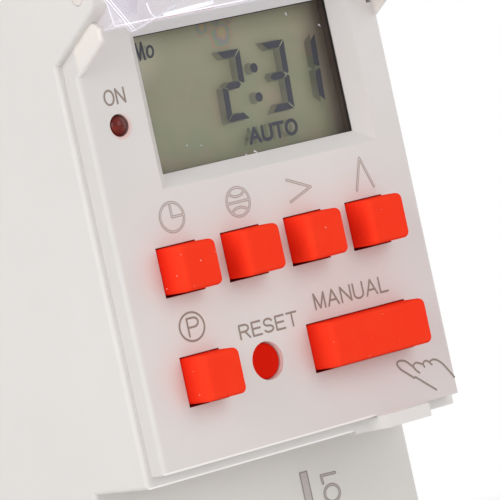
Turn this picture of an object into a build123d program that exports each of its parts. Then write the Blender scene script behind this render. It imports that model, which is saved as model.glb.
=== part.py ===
from build123d import *
import math
import os

# Digital timer switch, two modules wide, for a 35 mm rail.
# The origin is the centre of the rail seat. X runs across the width, Z runs up
# the device as it is mounted, and the front faces -Y. A "reach" is a distance
# in front of the rail seat, so a reach of 44 lies at y = -44. All in millimetres.

os.makedirs("parts", exist_ok=True)

# Housing envelope
module_width = 18.0
module_count = 2
body_height = 88.0
nose_height = 45.0
shoulder_reach = 44.0
nose_step = 8.0
split_reach = 18.0
foot_depth = 5.5
wall = 1.7
edge_round = 0.4

# Rail seat and rail hooks
rail_height = 35.0
rail_play = 0.2
rail_lip_gap = 1.3
rail_lip_thickness = 2.0
rail_lip_overlap = 2.0
seat_relief_depth = 0.3
seat_relief_margin = 0.25

# Face plate
plate_thickness = 1.84
plate_side_margin = 0.75
plate_bottom_margin = 1.01
plate_top_margin = 1.0
plate_edge_round = 0.45
plate_rim_depth = 1.5
plate_rim_wall = 0.8
shell_fit = 0.1

# Hinge cheeks of the housing and the ears of the plate that back them
cheek_start_drop = 7.52
cheek_slope = 29.5
hinge_stand = 5.3
hinge_drop = 2.1
hinge_pin_radius = 0.75
hinge_pin_fit = 0.05
ear_thickness = 0.5
ear_start_drop = 8.85
ear_projection = 4.56
ear_tip_height = 1.2

# Clear cover
cover_depth = 8.5
cover_sheet = 1.0
cover_side_wall = 0.65
cover_bottom_wall = 0.8
cover_gap = 0.15
cover_neck_gap = 0.3
cover_arm_thickness = 1.0
cover_roof_rise = 1.2
cover_arm_back = 3.1
cover_arm_drop = 3.4
cover_arm_taper = 4.0
cover_round = 0.45
cover_open_angle = 101.5

# Catch tab for the cover, on the lower edge of the nose
tab_start_x = 5.9
tab_knee_x = 8.4
tab_end_x = 13.3
tab_projection = 2.3
tab_height = 1.2
tab_root = 1.0
tab_corner = 0.3

# Display window
window_left = -9.43
window_right = 12.56
window_bottom = 3.92
window_top = 16.24
window_bevel_side = 1.4
window_bevel_end = 1.26
window_land = 0.48

# Display glass, its holder and its two contact strips
glass_margin_side = 1.9
glass_margin_end = 2.3
glass_thickness = 2.2
glass_recess = 0.6
holder_wall = 0.8
holder_lip = 1.0
holder_lip_thickness = 0.4
strip_thickness = 1.8
strip_inset = 0.4

# Keys
key_size = 4.25
key_gap = 0.1
key_pitch = 7.23
key_first_x = -10.77
key_row_height = -4.43
key_low_row_height = -14.15
key_projection = 3.05
key_corner = 0.35
key_edge = 0.5
key_flange = 0.6
key_flange_thickness = 0.8
key_travel = 0.7
key_seat_gap = 0.1
reset_radius = 1.63
reset_recess = 0.4

# Push switches under the keys
switch_size = 4.6
switch_height = 2.6
plunger_size = 1.6
plunger_fit = 0.05
plunger_stand = 1.0

# Indicator lamp
lamp_x = -13.93
lamp_height = 8.93
lamp_radius = 0.95
lamp_hole_radius = 1.0
lamp_projection = 0.35
lamp_collar_radius = 1.15
lamp_collar_thickness = 0.6
lamp_body_depth = 2.0
lead_width = 0.5
lamp_lead_spacing = 1.27

# Circuit boards
board_thickness = 1.6
board_margin = 0.4
display_board_depth = 5.6
power_board_stand = 3.0
power_board_overhang = 0.5
power_board_width = 31.6
board_rest_height = 20.0
board_rest_thickness = 1.5
board_rest_gap = 0.05

# Parts on the display board
battery_radius = 5.75
battery_thickness = 5.35
battery_x = -7.5
battery_height = 9.0
chip_size = 10.0
chip_thickness = 1.4
chip_x = -3.5
chip_height = -9.0
crystal_radius = 1.0
crystal_length = 6.0
crystal_x = 6.0
crystal_height = -9.0
link_pin = 0.64
link_pitch = 2.54
link_count = 6
link_first_x = 0.5
link_height = 17.5

# Parts on the power board
relay_width = 12.7
relay_length = 29.0
relay_depth = 15.7
relay_x = 7.6
relay_height = -13.4
film_width = 8.0
film_length = 18.0
film_depth = 14.0
film_x = -9.6
film_height = 16.5
film_round = 0.8
can_radius = 4.0
can_depth = 12.0
can_x = -10.0
can_heights = (-3.5, -14.0)
disc_radius = 3.6
disc_thickness = 2.6
disc_x = 8.0
disc_height = 25.4
disc_stand = 2.0

# Screw terminals
terminal_pitch = 11.0
terminal_inset = 8.0
screw_head_radius = 2.9
screw_head_thickness = 1.8
screw_head_recess = 0.1
screw_slot_width = 0.8
screw_slot_depth = 0.8
screw_shank_radius = 1.75
screw_bore_fit = 0.05
screw_access_radius = 2.6
shelf_thickness = 1.0
clamp_width = 7.2
clamp_depth = 7.0
clamp_wall = 1.2
clamp_nut_thickness = 2.2
clamp_travel = 3.0
clamp_gap = 0.1
wire_space = 5.5
bar_width = 4.0
bar_thickness = 1.0
bar_gap = 0.5
bar_tip = 3.0
bar_leg_inset = 6.5
entry_size = 5.2
divider_thickness = 1.2
divider_margin = 0.9

# Rail latch and its spring
latch_width = 10.0
latch_thickness = 3.0
latch_side_fit = 0.2
latch_face_fit = 0.2
latch_travel = 4.0
latch_window_width = 3.6
latch_window_inset = 8.0
latch_window_length = 12.0
latch_end_gap = 0.2
latch_guide_lip = 1.2
latch_slot_width = 4.0
latch_slot_length = 1.6
latch_slot_inset = 6.1
anchor_width = 2.8
anchor_length = 1.8
spring_wire_radius = 0.25
spring_radius = 1.1
spring_turns = 5
spring_wire_sides = 4
spring_seat_gap = 0.05

# Screws that hold the two housing shells together
post_size = 4.8
post_merge = 0.4
post_clamp_gap = 0.8
case_screw_radius = 1.3
case_screw_fit = 0.04
case_head_radius = 2.1
case_head_thickness = 1.4
case_head_sink = 0.6
case_screw_tip_gap = 2.0

# Worked out from the sizes above
half_width = module_width * module_count / 2
body_half = body_height / 2
nose_half = nose_height / 2
inner_half_width = half_width - wall
inner_nose_half = nose_half - wall
inner_body_half = body_half - wall
post_x = inner_half_width - post_size / 2 + post_merge
post_height = inner_body_half - post_size / 2 + post_merge
ledge_reach = shoulder_reach + nose_step
face_reach = ledge_reach + plate_thickness
cover_reach = ledge_reach + cover_depth
hinge_reach = ledge_reach + hinge_stand
hinge_height = nose_half - hinge_drop
cheek_start_height = nose_half - cheek_start_drop
ear_start_height = nose_half - ear_start_drop
ear_reach = face_reach + ear_projection
display_board_reach = ledge_reach - display_board_depth
lamp_body_reach = ledge_reach - lamp_body_depth
power_board_reach = split_reach + power_board_stand
terminal_height = body_half - terminal_inset
bar_leg_height = terminal_height - bar_leg_inset
power_board_height = 2 * (bar_leg_height + bar_thickness + power_board_overhang)
divider_inner_height = terminal_height - clamp_depth / 2 - divider_margin
latch_end_height = body_half - latch_travel - latch_end_gap
latch_window_bottom = body_half - latch_window_inset
latch_window_top = latch_window_bottom - latch_window_length
latch_slot_height = body_half - latch_slot_inset
plate_half_width = half_width - plate_side_margin
plate_bottom = -nose_half + plate_bottom_margin
plate_top = nose_half - plate_top_margin
tab_top = plate_bottom - shell_fit
tab_reach = ledge_reach + tab_projection
slope_y = math.cos(math.radians(cheek_slope))
slope_z = math.sin(math.radians(cheek_slope))


def across(reach):
    """Plane across the device at this reach, facing the front: X is width, Y is height."""
    return Plane.XZ.offset(reach)


def lengthwise(x):
    """Plane along the device at this width, facing +X: X is world y, Y is world z."""
    return Plane.YZ.offset(x)


def cheek_line_height(reach, start_height=cheek_start_height, start_reach=ledge_reach):
    """Height of the sloping edge at this reach."""
    return start_height + (reach - start_reach) * slope_z / slope_y


# Front housing: stepped shell with the hinge cheeks and the catch tab

# The cheek ends in an arc about the hinge axis that meets its sloping edge
cheek_run = (hinge_reach - ledge_reach) * slope_y + (hinge_height - cheek_start_height) * slope_z
cheek_tangent_reach = ledge_reach + cheek_run * slope_y
cheek_tangent_height = cheek_start_height + cheek_run * slope_z
cheek_end_radius = math.hypot(cheek_tangent_reach - hinge_reach, cheek_tangent_height - hinge_height)
cheek_arc_middle = math.radians(180 - cheek_slope / 2)

clamp_tight_reach = shoulder_reach - wall - screw_head_recess - screw_head_thickness
shelf_reach = clamp_tight_reach - clamp_gap
clamp_front_reach = shelf_reach - shelf_thickness - clamp_gap - clamp_travel
bar_reach = clamp_front_reach - clamp_nut_thickness - bar_gap
wire_centre_reach = bar_reach - bar_thickness - wire_space / 2
clamp_back_reach = bar_reach - bar_thickness - wire_space - clamp_wall
post_reach = clamp_back_reach - post_clamp_gap
case_screw_reach = post_reach - case_screw_tip_gap

terminals = []
for index in range(2):
    terminals.append((index + 1, (2 * index - 1) * terminal_pitch, 1))
for index in range(3):
    terminals.append((index + 3, (index - 1) * terminal_pitch, -1))

post_places = [(sx * post_x, sz * post_height) for sx in (-1, 1) for sz in (-1, 1)]

with BuildPart() as front_housing:
    with BuildSketch(lengthwise(-half_width)):
        with BuildLine():
            Polyline(
                (-split_reach, -body_half),
                (-shoulder_reach, -body_half),
                (-shoulder_reach, -nose_half),
                (-ledge_reach, -nose_half),
                (-ledge_reach, nose_half),
                (-shoulder_reach, nose_half),
                (-shoulder_reach, body_half),
                (-split_reach, body_half),
                close=True,
            )
        make_face()
    extrude(amount=2 * half_width)
    for cheek_x in (-half_width, inner_half_width):
        with BuildSketch(lengthwise(cheek_x)):
            with BuildLine():
                Line((-ledge_reach + wall, cheek_start_height), (-ledge_reach, cheek_start_height))
                Line((-ledge_reach, cheek_start_height), (-cheek_tangent_reach, cheek_tangent_height))
                ThreePointArc(
                    (-cheek_tangent_reach, cheek_tangent_height),
                    (
                        -hinge_reach + cheek_end_radius * math.cos(cheek_arc_middle),
                        hinge_height + cheek_end_radius * math.sin(cheek_arc_middle),
                    ),
                    (-hinge_reach, hinge_height + cheek_end_radius),
                )
                Line((-hinge_reach, hinge_height + cheek_end_radius), (-ledge_reach + wall, nose_half))
                Line((-ledge_reach + wall, nose_half), (-ledge_reach + wall, cheek_start_height))
            make_face()
        extrude(amount=wall)
    side_faces = front_housing.faces().filter_by(Axis.X).group_by(SortBy.AREA)[-1]
    outline_edges = side_faces.edges().filter_by_position(
        Axis.Y, -cover_reach, -split_reach - edge_round, inclusive=(True, True)
    )
    fillet(outline_edges, edge_round)
    with BuildSketch(across(split_reach)):
        Rectangle(2 * inner_half_width, 2 * inner_body_half)
    extrude(amount=shoulder_reach - wall - split_reach, mode=Mode.SUBTRACT)
    with BuildSketch(across(shoulder_reach - wall)):
        Rectangle(2 * inner_half_width, 2 * inner_nose_half)
    extrude(amount=ledge_reach - shoulder_reach + wall, mode=Mode.SUBTRACT)
    with Locations(Location((0, -hinge_reach, hinge_height), (0, 90, 0))):
        Cylinder(hinge_pin_radius + hinge_pin_fit, 4 * half_width, mode=Mode.SUBTRACT)
    # The catch tab grows out of the edge in a long curve and ends square
    with BuildSketch(Plane.XY.offset(tab_top)):
        with BuildLine():
            Spline(
                (tab_start_x, -ledge_reach),
                (tab_knee_x, -tab_reach),
                tangents=((1, 0), (1, 0)),
            )
            Polyline(
                (tab_knee_x, -tab_reach),
                (tab_end_x - tab_corner, -tab_reach),
                (tab_end_x, -tab_reach + tab_corner),
                (tab_end_x, -ledge_reach + tab_root),
                (tab_start_x, -ledge_reach + tab_root),
                (tab_start_x, -ledge_reach),
            )
        make_face()
    extrude(amount=-tab_height)
    for side in (-1, 1):
        shelf_middle = side * (divider_inner_height + inner_body_half) / 2
        shelf_span = inner_body_half - divider_inner_height
        with BuildSketch(across(shelf_reach)):
            with Locations((0, shelf_middle)):
                Rectangle(2 * inner_half_width, shelf_span)
        extrude(amount=-shelf_thickness)
        with BuildSketch(across(shoulder_reach - wall)):
            with Locations((-terminal_pitch / 2, shelf_middle), (terminal_pitch / 2, shelf_middle)):
                Rectangle(divider_thickness, shelf_span)
        extrude(amount=clamp_back_reach - shoulder_reach + wall)
    for number, terminal_x, side in terminals:
        with BuildSketch(across(shoulder_reach)):
            with Locations((terminal_x, side * terminal_height)):
                Circle(screw_access_radius)
        extrude(amount=-wall, mode=Mode.SUBTRACT)
        with BuildSketch(across(shelf_reach)):
            with Locations((terminal_x, side * terminal_height)):
                Circle(screw_shank_radius + screw_bore_fit)
        extrude(amount=-shelf_thickness, mode=Mode.SUBTRACT)
        with BuildSketch(Plane.XY.offset(side * inner_body_half)):
            with Locations((terminal_x, -wire_centre_reach)):
                Rectangle(entry_size, entry_size)
        extrude(amount=side * wall, mode=Mode.SUBTRACT)
    with BuildSketch(across(split_reach)):
        with Locations(*post_places):
            Rectangle(post_size, post_size)
    extrude(amount=post_reach - split_reach)
    with BuildSketch(across(split_reach)):
        with Locations(*post_places):
            Circle(case_screw_radius + case_screw_fit)
    extrude(amount=post_reach - split_reach, mode=Mode.SUBTRACT)

front_housing.part.label = "front_housing"
export_step(front_housing.part, "parts/front_housing.step")

# Base housing: rear shell with the rail seat, the fixed hook and the latch channel.
# The seat stops short of both hooks, so a burr on the rail's edge can't hold it off.

groove_half = rail_height / 2 + rail_play
seat_half = groove_half - rail_lip_overlap - seat_relief_margin
lip_back = rail_lip_gap + rail_lip_thickness
latch_front_y = rail_lip_gap - latch_face_fit
latch_back_y = rail_lip_gap + latch_thickness
channel_half = latch_width / 2 + latch_side_fit
anchor_bottom = -latch_window_bottom + latch_side_fit
anchor_top = anchor_bottom + anchor_length

with BuildPart() as base_housing:
    with BuildSketch(lengthwise(-half_width)):
        with BuildLine():
            Polyline(
                (-split_reach, -body_half),
                (-split_reach, body_half),
                (foot_depth, body_half),
                (foot_depth, groove_half),
                (lip_back, groove_half - rail_lip_overlap),
                (rail_lip_gap, groove_half - rail_lip_overlap),
                (rail_lip_gap, groove_half),
                (-seat_relief_depth, groove_half),
                (-seat_relief_depth, seat_half),
                (0, seat_half),
                (0, -seat_half),
                (-seat_relief_depth, -seat_half),
                (-seat_relief_depth, -groove_half),
                (foot_depth, -groove_half),
                (foot_depth, -body_half),
                close=True,
            )
        make_face()
    extrude(amount=2 * half_width)
    with BuildSketch(across(split_reach)):
        Rectangle(2 * inner_half_width, 2 * inner_body_half)
    extrude(amount=wall - split_reach, mode=Mode.SUBTRACT)
    with BuildSketch(across(split_reach)):
        with Locations(*post_places):
            Rectangle(post_size, post_size)
    extrude(amount=wall - split_reach)
    # Two ribs that carry the power board
    with BuildSketch(across(power_board_reach - board_thickness - board_rest_gap)):
        with Locations((0, -board_rest_height), (0, board_rest_height)):
            Rectangle(2 * (inner_half_width - shell_fit), board_rest_thickness)
    extrude(amount=wall - power_board_reach + board_thickness + board_rest_gap)
    # Pockets that lighten both feet, open to the back
    pocket_top = body_half - wall
    pocket_length = pocket_top - groove_half - 2 * wall
    pocket_width = post_x - post_size / 2 - channel_half - 2 * wall
    pocket_x = channel_half + wall + pocket_width / 2
    pocket_middle = pocket_top - pocket_length / 2
    with BuildSketch(across(-foot_depth)):
        with Locations((-pocket_x, pocket_middle), (0, pocket_middle), (pocket_x, pocket_middle)):
            Rectangle(pocket_width, pocket_length)
        with Locations((-pocket_x, -pocket_middle), (pocket_x, -pocket_middle)):
            Rectangle(pocket_width, pocket_length)
    extrude(amount=foot_depth, mode=Mode.SUBTRACT)
    # Channel of the latch, with the guide lips left standing along both sides
    with BuildSketch(lengthwise(-channel_half)):
        with Locations((latch_front_y, -body_half)):
            Rectangle(
                latch_back_y + latch_face_fit - latch_front_y,
                body_half - groove_half,
                align=(Align.MIN, Align.MIN),
            )
    extrude(amount=2 * channel_half, mode=Mode.SUBTRACT)
    with BuildSketch(across(-foot_depth)):
        with Locations((0, -(body_half + groove_half) / 2)):
            Rectangle(2 * (channel_half - latch_guide_lip), body_half - groove_half)
    extrude(amount=foot_depth - latch_back_y, mode=Mode.SUBTRACT)
    # Anchor of the latch spring
    with BuildSketch(across(-latch_front_y)):
        with Locations((0, anchor_bottom + anchor_length / 2)):
            Rectangle(anchor_width, anchor_length)
    extrude(amount=latch_front_y - latch_back_y)
    # Screw holes with sunk heads
    with BuildSketch(across(split_reach)):
        with Locations(*post_places):
            Circle(case_screw_radius + case_screw_fit)
    extrude(amount=-split_reach - foot_depth, mode=Mode.SUBTRACT)
    with BuildSketch(across(-foot_depth)):
        with Locations(*post_places):
            Circle(case_head_radius + shell_fit)
    extrude(amount=case_head_sink + case_head_thickness, mode=Mode.SUBTRACT)

base_housing.part.label = "base_housing"
export_step(base_housing.part, "parts/base_housing.step")

# Case screws, one group of four

with BuildPart() as case_screws:
    head_y = foot_depth - case_head_sink
    with BuildSketch(across(-head_y)):
        with Locations(*post_places):
            Circle(case_head_radius)
    extrude(amount=case_head_thickness)
    with BuildSketch(across(-head_y + case_head_thickness)):
        with Locations(*post_places):
            Circle(case_screw_radius)
    extrude(amount=case_screw_reach + head_y - case_head_thickness)

case_screws.part.label = "case_screws"
export_step(case_screws.part, "parts/case_screws.step")

# Rail latch, with the hook, the spring window and the screwdriver slot

with BuildPart() as din_latch:
    with BuildSketch(lengthwise(-latch_width / 2)):
        with BuildLine():
            Polyline(
                (rail_lip_gap, -latch_end_height),
                (rail_lip_gap, -groove_half + rail_lip_overlap),
                (lip_back, -groove_half + rail_lip_overlap),
                (latch_back_y, -groove_half),
                (latch_back_y, -latch_end_height),
                close=True,
            )
        make_face()
    extrude(amount=latch_width)
    with BuildSketch(across(-latch_back_y)):
        with Locations((0, -(latch_window_top + latch_window_bottom) / 2)):
            Rectangle(latch_window_width, latch_window_bottom - latch_window_top)
        with Locations((0, -latch_slot_height)):
            Rectangle(latch_slot_width, latch_slot_length)
    extrude(amount=latch_thickness, mode=Mode.SUBTRACT)

din_latch.part.label = "din_latch"
export_step(din_latch.part, "parts/din_latch.step")

# Latch spring: a coil between the anchor and the top of the latch window

spring_bottom = anchor_top + spring_seat_gap + spring_wire_radius
spring_top = -latch_window_top - spring_seat_gap - spring_wire_radius
spring_y = (rail_lip_gap + latch_back_y) / 2

with BuildPart() as latch_spring:
    with BuildLine() as coil:
        Helix(
            (spring_top - spring_bottom) / spring_turns,
            spring_top - spring_bottom,
            spring_radius,
            center=(0, spring_y, spring_bottom),
        )
    with BuildSketch(Plane(origin=coil.line @ 0, z_dir=coil.line % 0)):
        RegularPolygon(spring_wire_radius, spring_wire_sides)
    sweep(path=coil.line, is_frenet=True)

latch_spring.part.label = "latch_spring"
export_step(latch_spring.part, "parts/latch_spring.step")

# Face plate: slab with ears, display window and the holes of keys and lamp

plate_neck_half = inner_half_width - shell_fit
key_hole = key_size + 2 * key_gap
manual_width = key_pitch + key_size
manual_x = key_first_x + 2.5 * key_pitch
reset_x = key_first_x + key_pitch
small_keys = [
    ("key_clock", key_first_x, key_row_height),
    ("key_week", key_first_x + key_pitch, key_row_height),
    ("key_hour", key_first_x + 2 * key_pitch, key_row_height),
    ("key_minute", key_first_x + 3 * key_pitch, key_row_height),
    ("key_program", key_first_x, key_low_row_height),
]
window_middle = ((window_left + window_right) / 2, (window_bottom + window_top) / 2)
window_width = window_right - window_left
window_height = window_top - window_bottom
ear_line_height = cheek_line_height(ear_reach, ear_start_height, face_reach)

with BuildPart() as face_plate:
    with BuildSketch(across(ledge_reach)):
        with BuildLine():
            Polyline(
                (-plate_half_width, plate_bottom),
                (plate_half_width, plate_bottom),
                (plate_half_width, cheek_start_height),
                (plate_neck_half, cheek_start_height),
                (plate_neck_half, plate_top),
                (-plate_neck_half, plate_top),
                (-plate_neck_half, cheek_start_height),
                (-plate_half_width, cheek_start_height),
                close=True,
            )
        make_face()
    extrude(amount=plate_thickness)
    ear_back_reach = ear_reach - ear_tip_height * slope_y
    for ear_x in (-plate_half_width, plate_half_width - ear_thickness):
        with BuildSketch(lengthwise(ear_x)):
            with BuildLine():
                Polyline(
                    (-ledge_reach, ear_start_height),
                    (-face_reach, ear_start_height),
                    (-ear_reach, ear_line_height),
                    (-ear_reach, ear_line_height + ear_tip_height),
                    (-ear_back_reach, cheek_line_height(ear_back_reach)),
                    (-ledge_reach, cheek_start_height),
                    close=True,
                )
            make_face()
        extrude(amount=ear_thickness)
    outer_edges = [
        edge
        for edge in face_plate.edges()
        if abs(abs(edge.center().X) - plate_half_width) < plate_edge_round / 10
        and abs(edge.tangent_at(0.5).X) < 0.5
        and edge.center().Y < -face_reach + plate_edge_round / 10
        and edge.center().Z < cheek_line_height(-edge.center().Y) - plate_edge_round
    ]
    fillet(outer_edges, plate_edge_round)
    with BuildSketch(across(ledge_reach)):
        Rectangle(2 * (inner_half_width - shell_fit), 2 * (inner_nose_half - shell_fit))
        Rectangle(
            2 * (inner_half_width - shell_fit - plate_rim_wall),
            2 * (inner_nose_half - shell_fit - plate_rim_wall),
            mode=Mode.SUBTRACT,
        )
    extrude(amount=-plate_rim_depth)
    with BuildSketch(across(face_reach)):
        with Locations(window_middle):
            Rectangle(window_width + 2 * window_bevel_side, window_height + 2 * window_bevel_end)
    with BuildSketch(across(ledge_reach + window_land)):
        with Locations(window_middle):
            Rectangle(window_width, window_height)
    loft(mode=Mode.SUBTRACT)
    with BuildSketch(across(ledge_reach)):
        with Locations(window_middle):
            Rectangle(window_width, window_height)
        for name, key_x, key_z in small_keys:
            with Locations((key_x, key_z)):
                Rectangle(key_hole, key_hole)
        with Locations((manual_x, key_low_row_height)):
            Rectangle(manual_width + 2 * key_gap, key_hole)
        with Locations((reset_x, key_low_row_height)):
            Circle(reset_radius + key_gap)
        with Locations((lamp_x, lamp_height)):
            Circle(lamp_hole_radius)
    extrude(amount=plate_thickness, mode=Mode.SUBTRACT)

face_plate.part.label = "face_plate"
export_step(face_plate.part, "parts/face_plate.step")

# Clear cover, drawn closed in the frame of its hinge and stored swung open

hinge_frame = Plane(Location((0, -hinge_reach, hinge_height), (-cover_open_angle, 0, 0)))


def cover_side(x):
    """Lengthwise plane of the cover at this width: X and Y are closed y and z from the hinge."""
    return Plane(
        origin=hinge_frame.from_local_coords(Vector(x, 0, 0)),
        x_dir=hinge_frame.y_dir,
        z_dir=hinge_frame.x_dir,
    )


def closed(reach, height):
    """Point of the closed cover, measured from the hinge axis."""
    return (hinge_reach - reach, height - hinge_height)


cover_bottom = -nose_half + shell_fit
cover_back = ledge_reach + cover_gap
slope_gap = cover_gap / slope_y
arm_half_width = inner_half_width - cover_neck_gap
roof_height = hinge_height + cover_roof_rise
arm_reach = hinge_reach - cover_arm_back
arm_low = hinge_height - cover_arm_drop

with BuildPart() as clear_cover:
    with BuildSketch(cover_side(-half_width)):
        with BuildLine():
            Polyline(
                closed(cover_back, cover_bottom),
                closed(cover_reach, cover_bottom),
                closed(cover_reach, cheek_line_height(cover_reach) - slope_gap),
                closed(cover_back, cheek_line_height(cover_back) - slope_gap),
                close=True,
            )
        make_face()
    extrude(amount=2 * half_width)
    front_face = clear_cover.faces().sort_by(Axis((0, 0, 0), hinge_frame.y_dir))[0]
    fillet(front_face.edges().sort_by(Axis((0, 0, 0), hinge_frame.z_dir))[:3], cover_round)
    with BuildSketch(cover_side(-half_width + cover_side_wall)):
        with BuildLine():
            Polyline(
                closed(cover_back - wall, cover_bottom + cover_bottom_wall),
                closed(cover_reach - cover_sheet, cover_bottom + cover_bottom_wall),
                closed(cover_reach - cover_sheet, nose_half),
                closed(cover_back - wall, nose_half),
                close=True,
            )
        make_face()
    extrude(amount=2 * (half_width - cover_side_wall), mode=Mode.SUBTRACT)
    with BuildSketch(cover_side(-arm_half_width)):
        with BuildLine():
            Polyline(
                closed(cover_reach, arm_low - cover_arm_taper),
                closed(cover_reach, roof_height),
                closed(arm_reach, roof_height),
                closed(arm_reach, arm_low),
                closed(cover_reach - cover_sheet, arm_low - cover_arm_taper),
                close=True,
            )
        make_face()
    extrude(amount=2 * arm_half_width)
    with BuildSketch(cover_side(-arm_half_width + cover_arm_thickness)):
        with BuildLine():
            Polyline(
                closed(cover_reach - cover_sheet, arm_low - 2 * cover_arm_taper),
                closed(cover_reach - cover_sheet, roof_height - cover_sheet),
                closed(arm_reach - wall, roof_height - cover_sheet),
                closed(arm_reach - wall, arm_low - 2 * cover_arm_taper),
                close=True,
            )
        make_face()
    extrude(amount=2 * (arm_half_width - cover_arm_thickness), mode=Mode.SUBTRACT)
    for pin_x in (-half_width, arm_half_width - cover_arm_thickness):
        with BuildSketch(cover_side(pin_x)):
            Circle(hinge_pin_radius)
        extrude(amount=half_width - arm_half_width + cover_arm_thickness)
    with BuildSketch(cover_side(tab_start_x - cover_gap)):
        with BuildLine():
            Polyline(
                closed(cover_back - cover_gap, cover_bottom - cover_gap),
                closed(tab_reach + cover_gap, cover_bottom - cover_gap),
                closed(tab_reach + cover_gap, cover_bottom + cover_bottom_wall + cover_gap),
                closed(cover_back - cover_gap, cover_bottom + cover_bottom_wall + cover_gap),
                close=True,
            )
        make_face()
    extrude(amount=tab_end_x - tab_start_x + 2 * cover_gap, mode=Mode.SUBTRACT)

clear_cover.part.label = "clear_cover"
export_step(clear_cover.part, "parts/clear_cover.step")

# Display glass, holder and contact strips

glass_front_reach = ledge_reach - glass_recess
glass_width = window_width + 2 * glass_margin_side
glass_height = window_height + 2 * glass_margin_end

with BuildPart() as lcd_glass:
    with BuildSketch(across(glass_front_reach)):
        with Locations(window_middle):
            Rectangle(glass_width, glass_height)
    extrude(amount=-glass_thickness)

lcd_glass.part.label = "lcd_glass"
export_step(lcd_glass.part, "parts/lcd_glass.step")

holder_width = glass_width + 2 * (holder_wall + shell_fit)
holder_height = glass_height + 2 * (holder_wall + shell_fit)

with BuildPart() as lcd_holder:
    with BuildSketch(across(display_board_reach)):
        with Locations(window_middle):
            Rectangle(holder_width, holder_height)
            Rectangle(glass_width + 2 * shell_fit, glass_height + 2 * shell_fit, mode=Mode.SUBTRACT)
    extrude(amount=glass_front_reach - display_board_reach)
    with BuildSketch(across(glass_front_reach)):
        with Locations(window_middle):
            Rectangle(holder_width, holder_height)
            Rectangle(glass_width - 2 * holder_lip, glass_height - 2 * holder_lip, mode=Mode.SUBTRACT)
    extrude(amount=holder_lip_thickness)

lcd_holder.part.label = "lcd_holder"
export_step(lcd_holder.part, "parts/lcd_holder.step")

strip_offset = glass_height / 2 - strip_inset - strip_thickness / 2
with BuildPart() as contact_strips:
    with BuildSketch(across(display_board_reach)):
        with Locations(
            (window_middle[0], window_middle[1] - strip_offset),
            (window_middle[0], window_middle[1] + strip_offset),
        ):
            Rectangle(glass_width - 2 * strip_inset, strip_thickness)
    extrude(amount=glass_front_reach - glass_thickness - display_board_reach)

contact_strips.part.label = "contact_strips"
export_step(contact_strips.part, "parts/contact_strips.step")

# Keys with their retaining flanges, and the plungers that they press

key_back_reach = ledge_reach - key_seat_gap - key_flange_thickness
switch_front_reach = display_board_reach + switch_height


def key_cap(name, key_x, key_z, width):
    with BuildPart() as cap:
        with BuildSketch(across(ledge_reach - key_seat_gap)) as key_outline:
            with Locations((key_x, key_z)):
                Rectangle(width, key_size)
            chamfer(key_outline.vertices(), key_corner)
        extrude(amount=face_reach + key_projection - ledge_reach + key_seat_gap)
        chamfer(cap.faces().sort_by(Axis.Y)[0].edges(), key_edge)
        with BuildSketch(across(key_back_reach)):
            with Locations((key_x, key_z)):
                Rectangle(width + 2 * key_flange, key_size + 2 * key_flange)
        extrude(amount=key_flange_thickness)
    cap.part.label = name
    export_step(cap.part, f"parts/{name}.step")


def plunger(name, key_x, key_z):
    with BuildPart() as pin:
        with BuildSketch(across(switch_front_reach - plunger_stand)):
            with Locations((key_x, key_z)):
                Rectangle(plunger_size, plunger_size)
        extrude(amount=key_back_reach - switch_front_reach + plunger_stand)
    pin.part.label = name
    export_step(pin.part, f"parts/{name}.step")


for name, key_x, key_z in small_keys:
    key_cap(name, key_x, key_z, key_size)
    plunger(name.replace("key", "plunger"), key_x, key_z)

key_cap("key_manual", manual_x, key_low_row_height, manual_width)
plunger("plunger_manual", manual_x, key_low_row_height)

with BuildPart() as key_reset:
    with BuildSketch(across(ledge_reach - key_seat_gap)):
        with Locations((reset_x, key_low_row_height)):
            Circle(reset_radius)
    extrude(amount=plate_thickness - reset_recess + key_seat_gap)
    with BuildSketch(across(key_back_reach)):
        with Locations((reset_x, key_low_row_height)):
            Circle(reset_radius + key_flange)
    extrude(amount=key_flange_thickness)

key_reset.part.label = "key_reset"
export_step(key_reset.part, "parts/key_reset.step")
plunger("plunger_reset", reset_x, key_low_row_height)

# Bodies of the push switches, one group, each bored for its plunger

switch_places = [(key_x, key_z) for name, key_x, key_z in small_keys]
switch_places.append((manual_x, key_low_row_height))
switch_places.append((reset_x, key_low_row_height))

with BuildPart() as switch_bodies:
    with BuildSketch(across(display_board_reach)):
        with Locations(*switch_places):
            Rectangle(switch_size, switch_size)
    extrude(amount=switch_height)
    with BuildSketch(across(switch_front_reach)):
        with Locations(*switch_places):
            Rectangle(plunger_size + 2 * plunger_fit, plunger_size + 2 * plunger_fit)
    extrude(amount=-plunger_stand - key_travel - key_seat_gap, mode=Mode.SUBTRACT)

switch_bodies.part.label = "switch_bodies"
export_step(switch_bodies.part, "parts/switch_bodies.step")

# Indicator lamp with its two leads

with BuildPart() as led_indicator:
    with BuildSketch(lengthwise(lamp_x)):
        with BuildLine():
            lamp_tip = -face_reach - lamp_projection
            Line((-lamp_body_reach, lamp_height), (lamp_tip, lamp_height))
            RadiusArc(
                (lamp_tip, lamp_height),
                (lamp_tip + lamp_radius, lamp_height + lamp_radius),
                lamp_radius,
            )
            Polyline(
                (lamp_tip + lamp_radius, lamp_height + lamp_radius),
                (-lamp_body_reach - lamp_collar_thickness, lamp_height + lamp_radius),
                (-lamp_body_reach - lamp_collar_thickness, lamp_height + lamp_collar_radius),
                (-lamp_body_reach, lamp_height + lamp_collar_radius),
                (-lamp_body_reach, lamp_height),
            )
        make_face()
    revolve(axis=Axis((lamp_x, 0, lamp_height), (0, 1, 0)))
    with BuildSketch(across(display_board_reach)):
        with Locations(
            (lamp_x, lamp_height - lamp_lead_spacing / 2),
            (lamp_x, lamp_height + lamp_lead_spacing / 2),
        ):
            Rectangle(lead_width, lead_width)
    extrude(amount=lamp_body_reach - display_board_reach)

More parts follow.
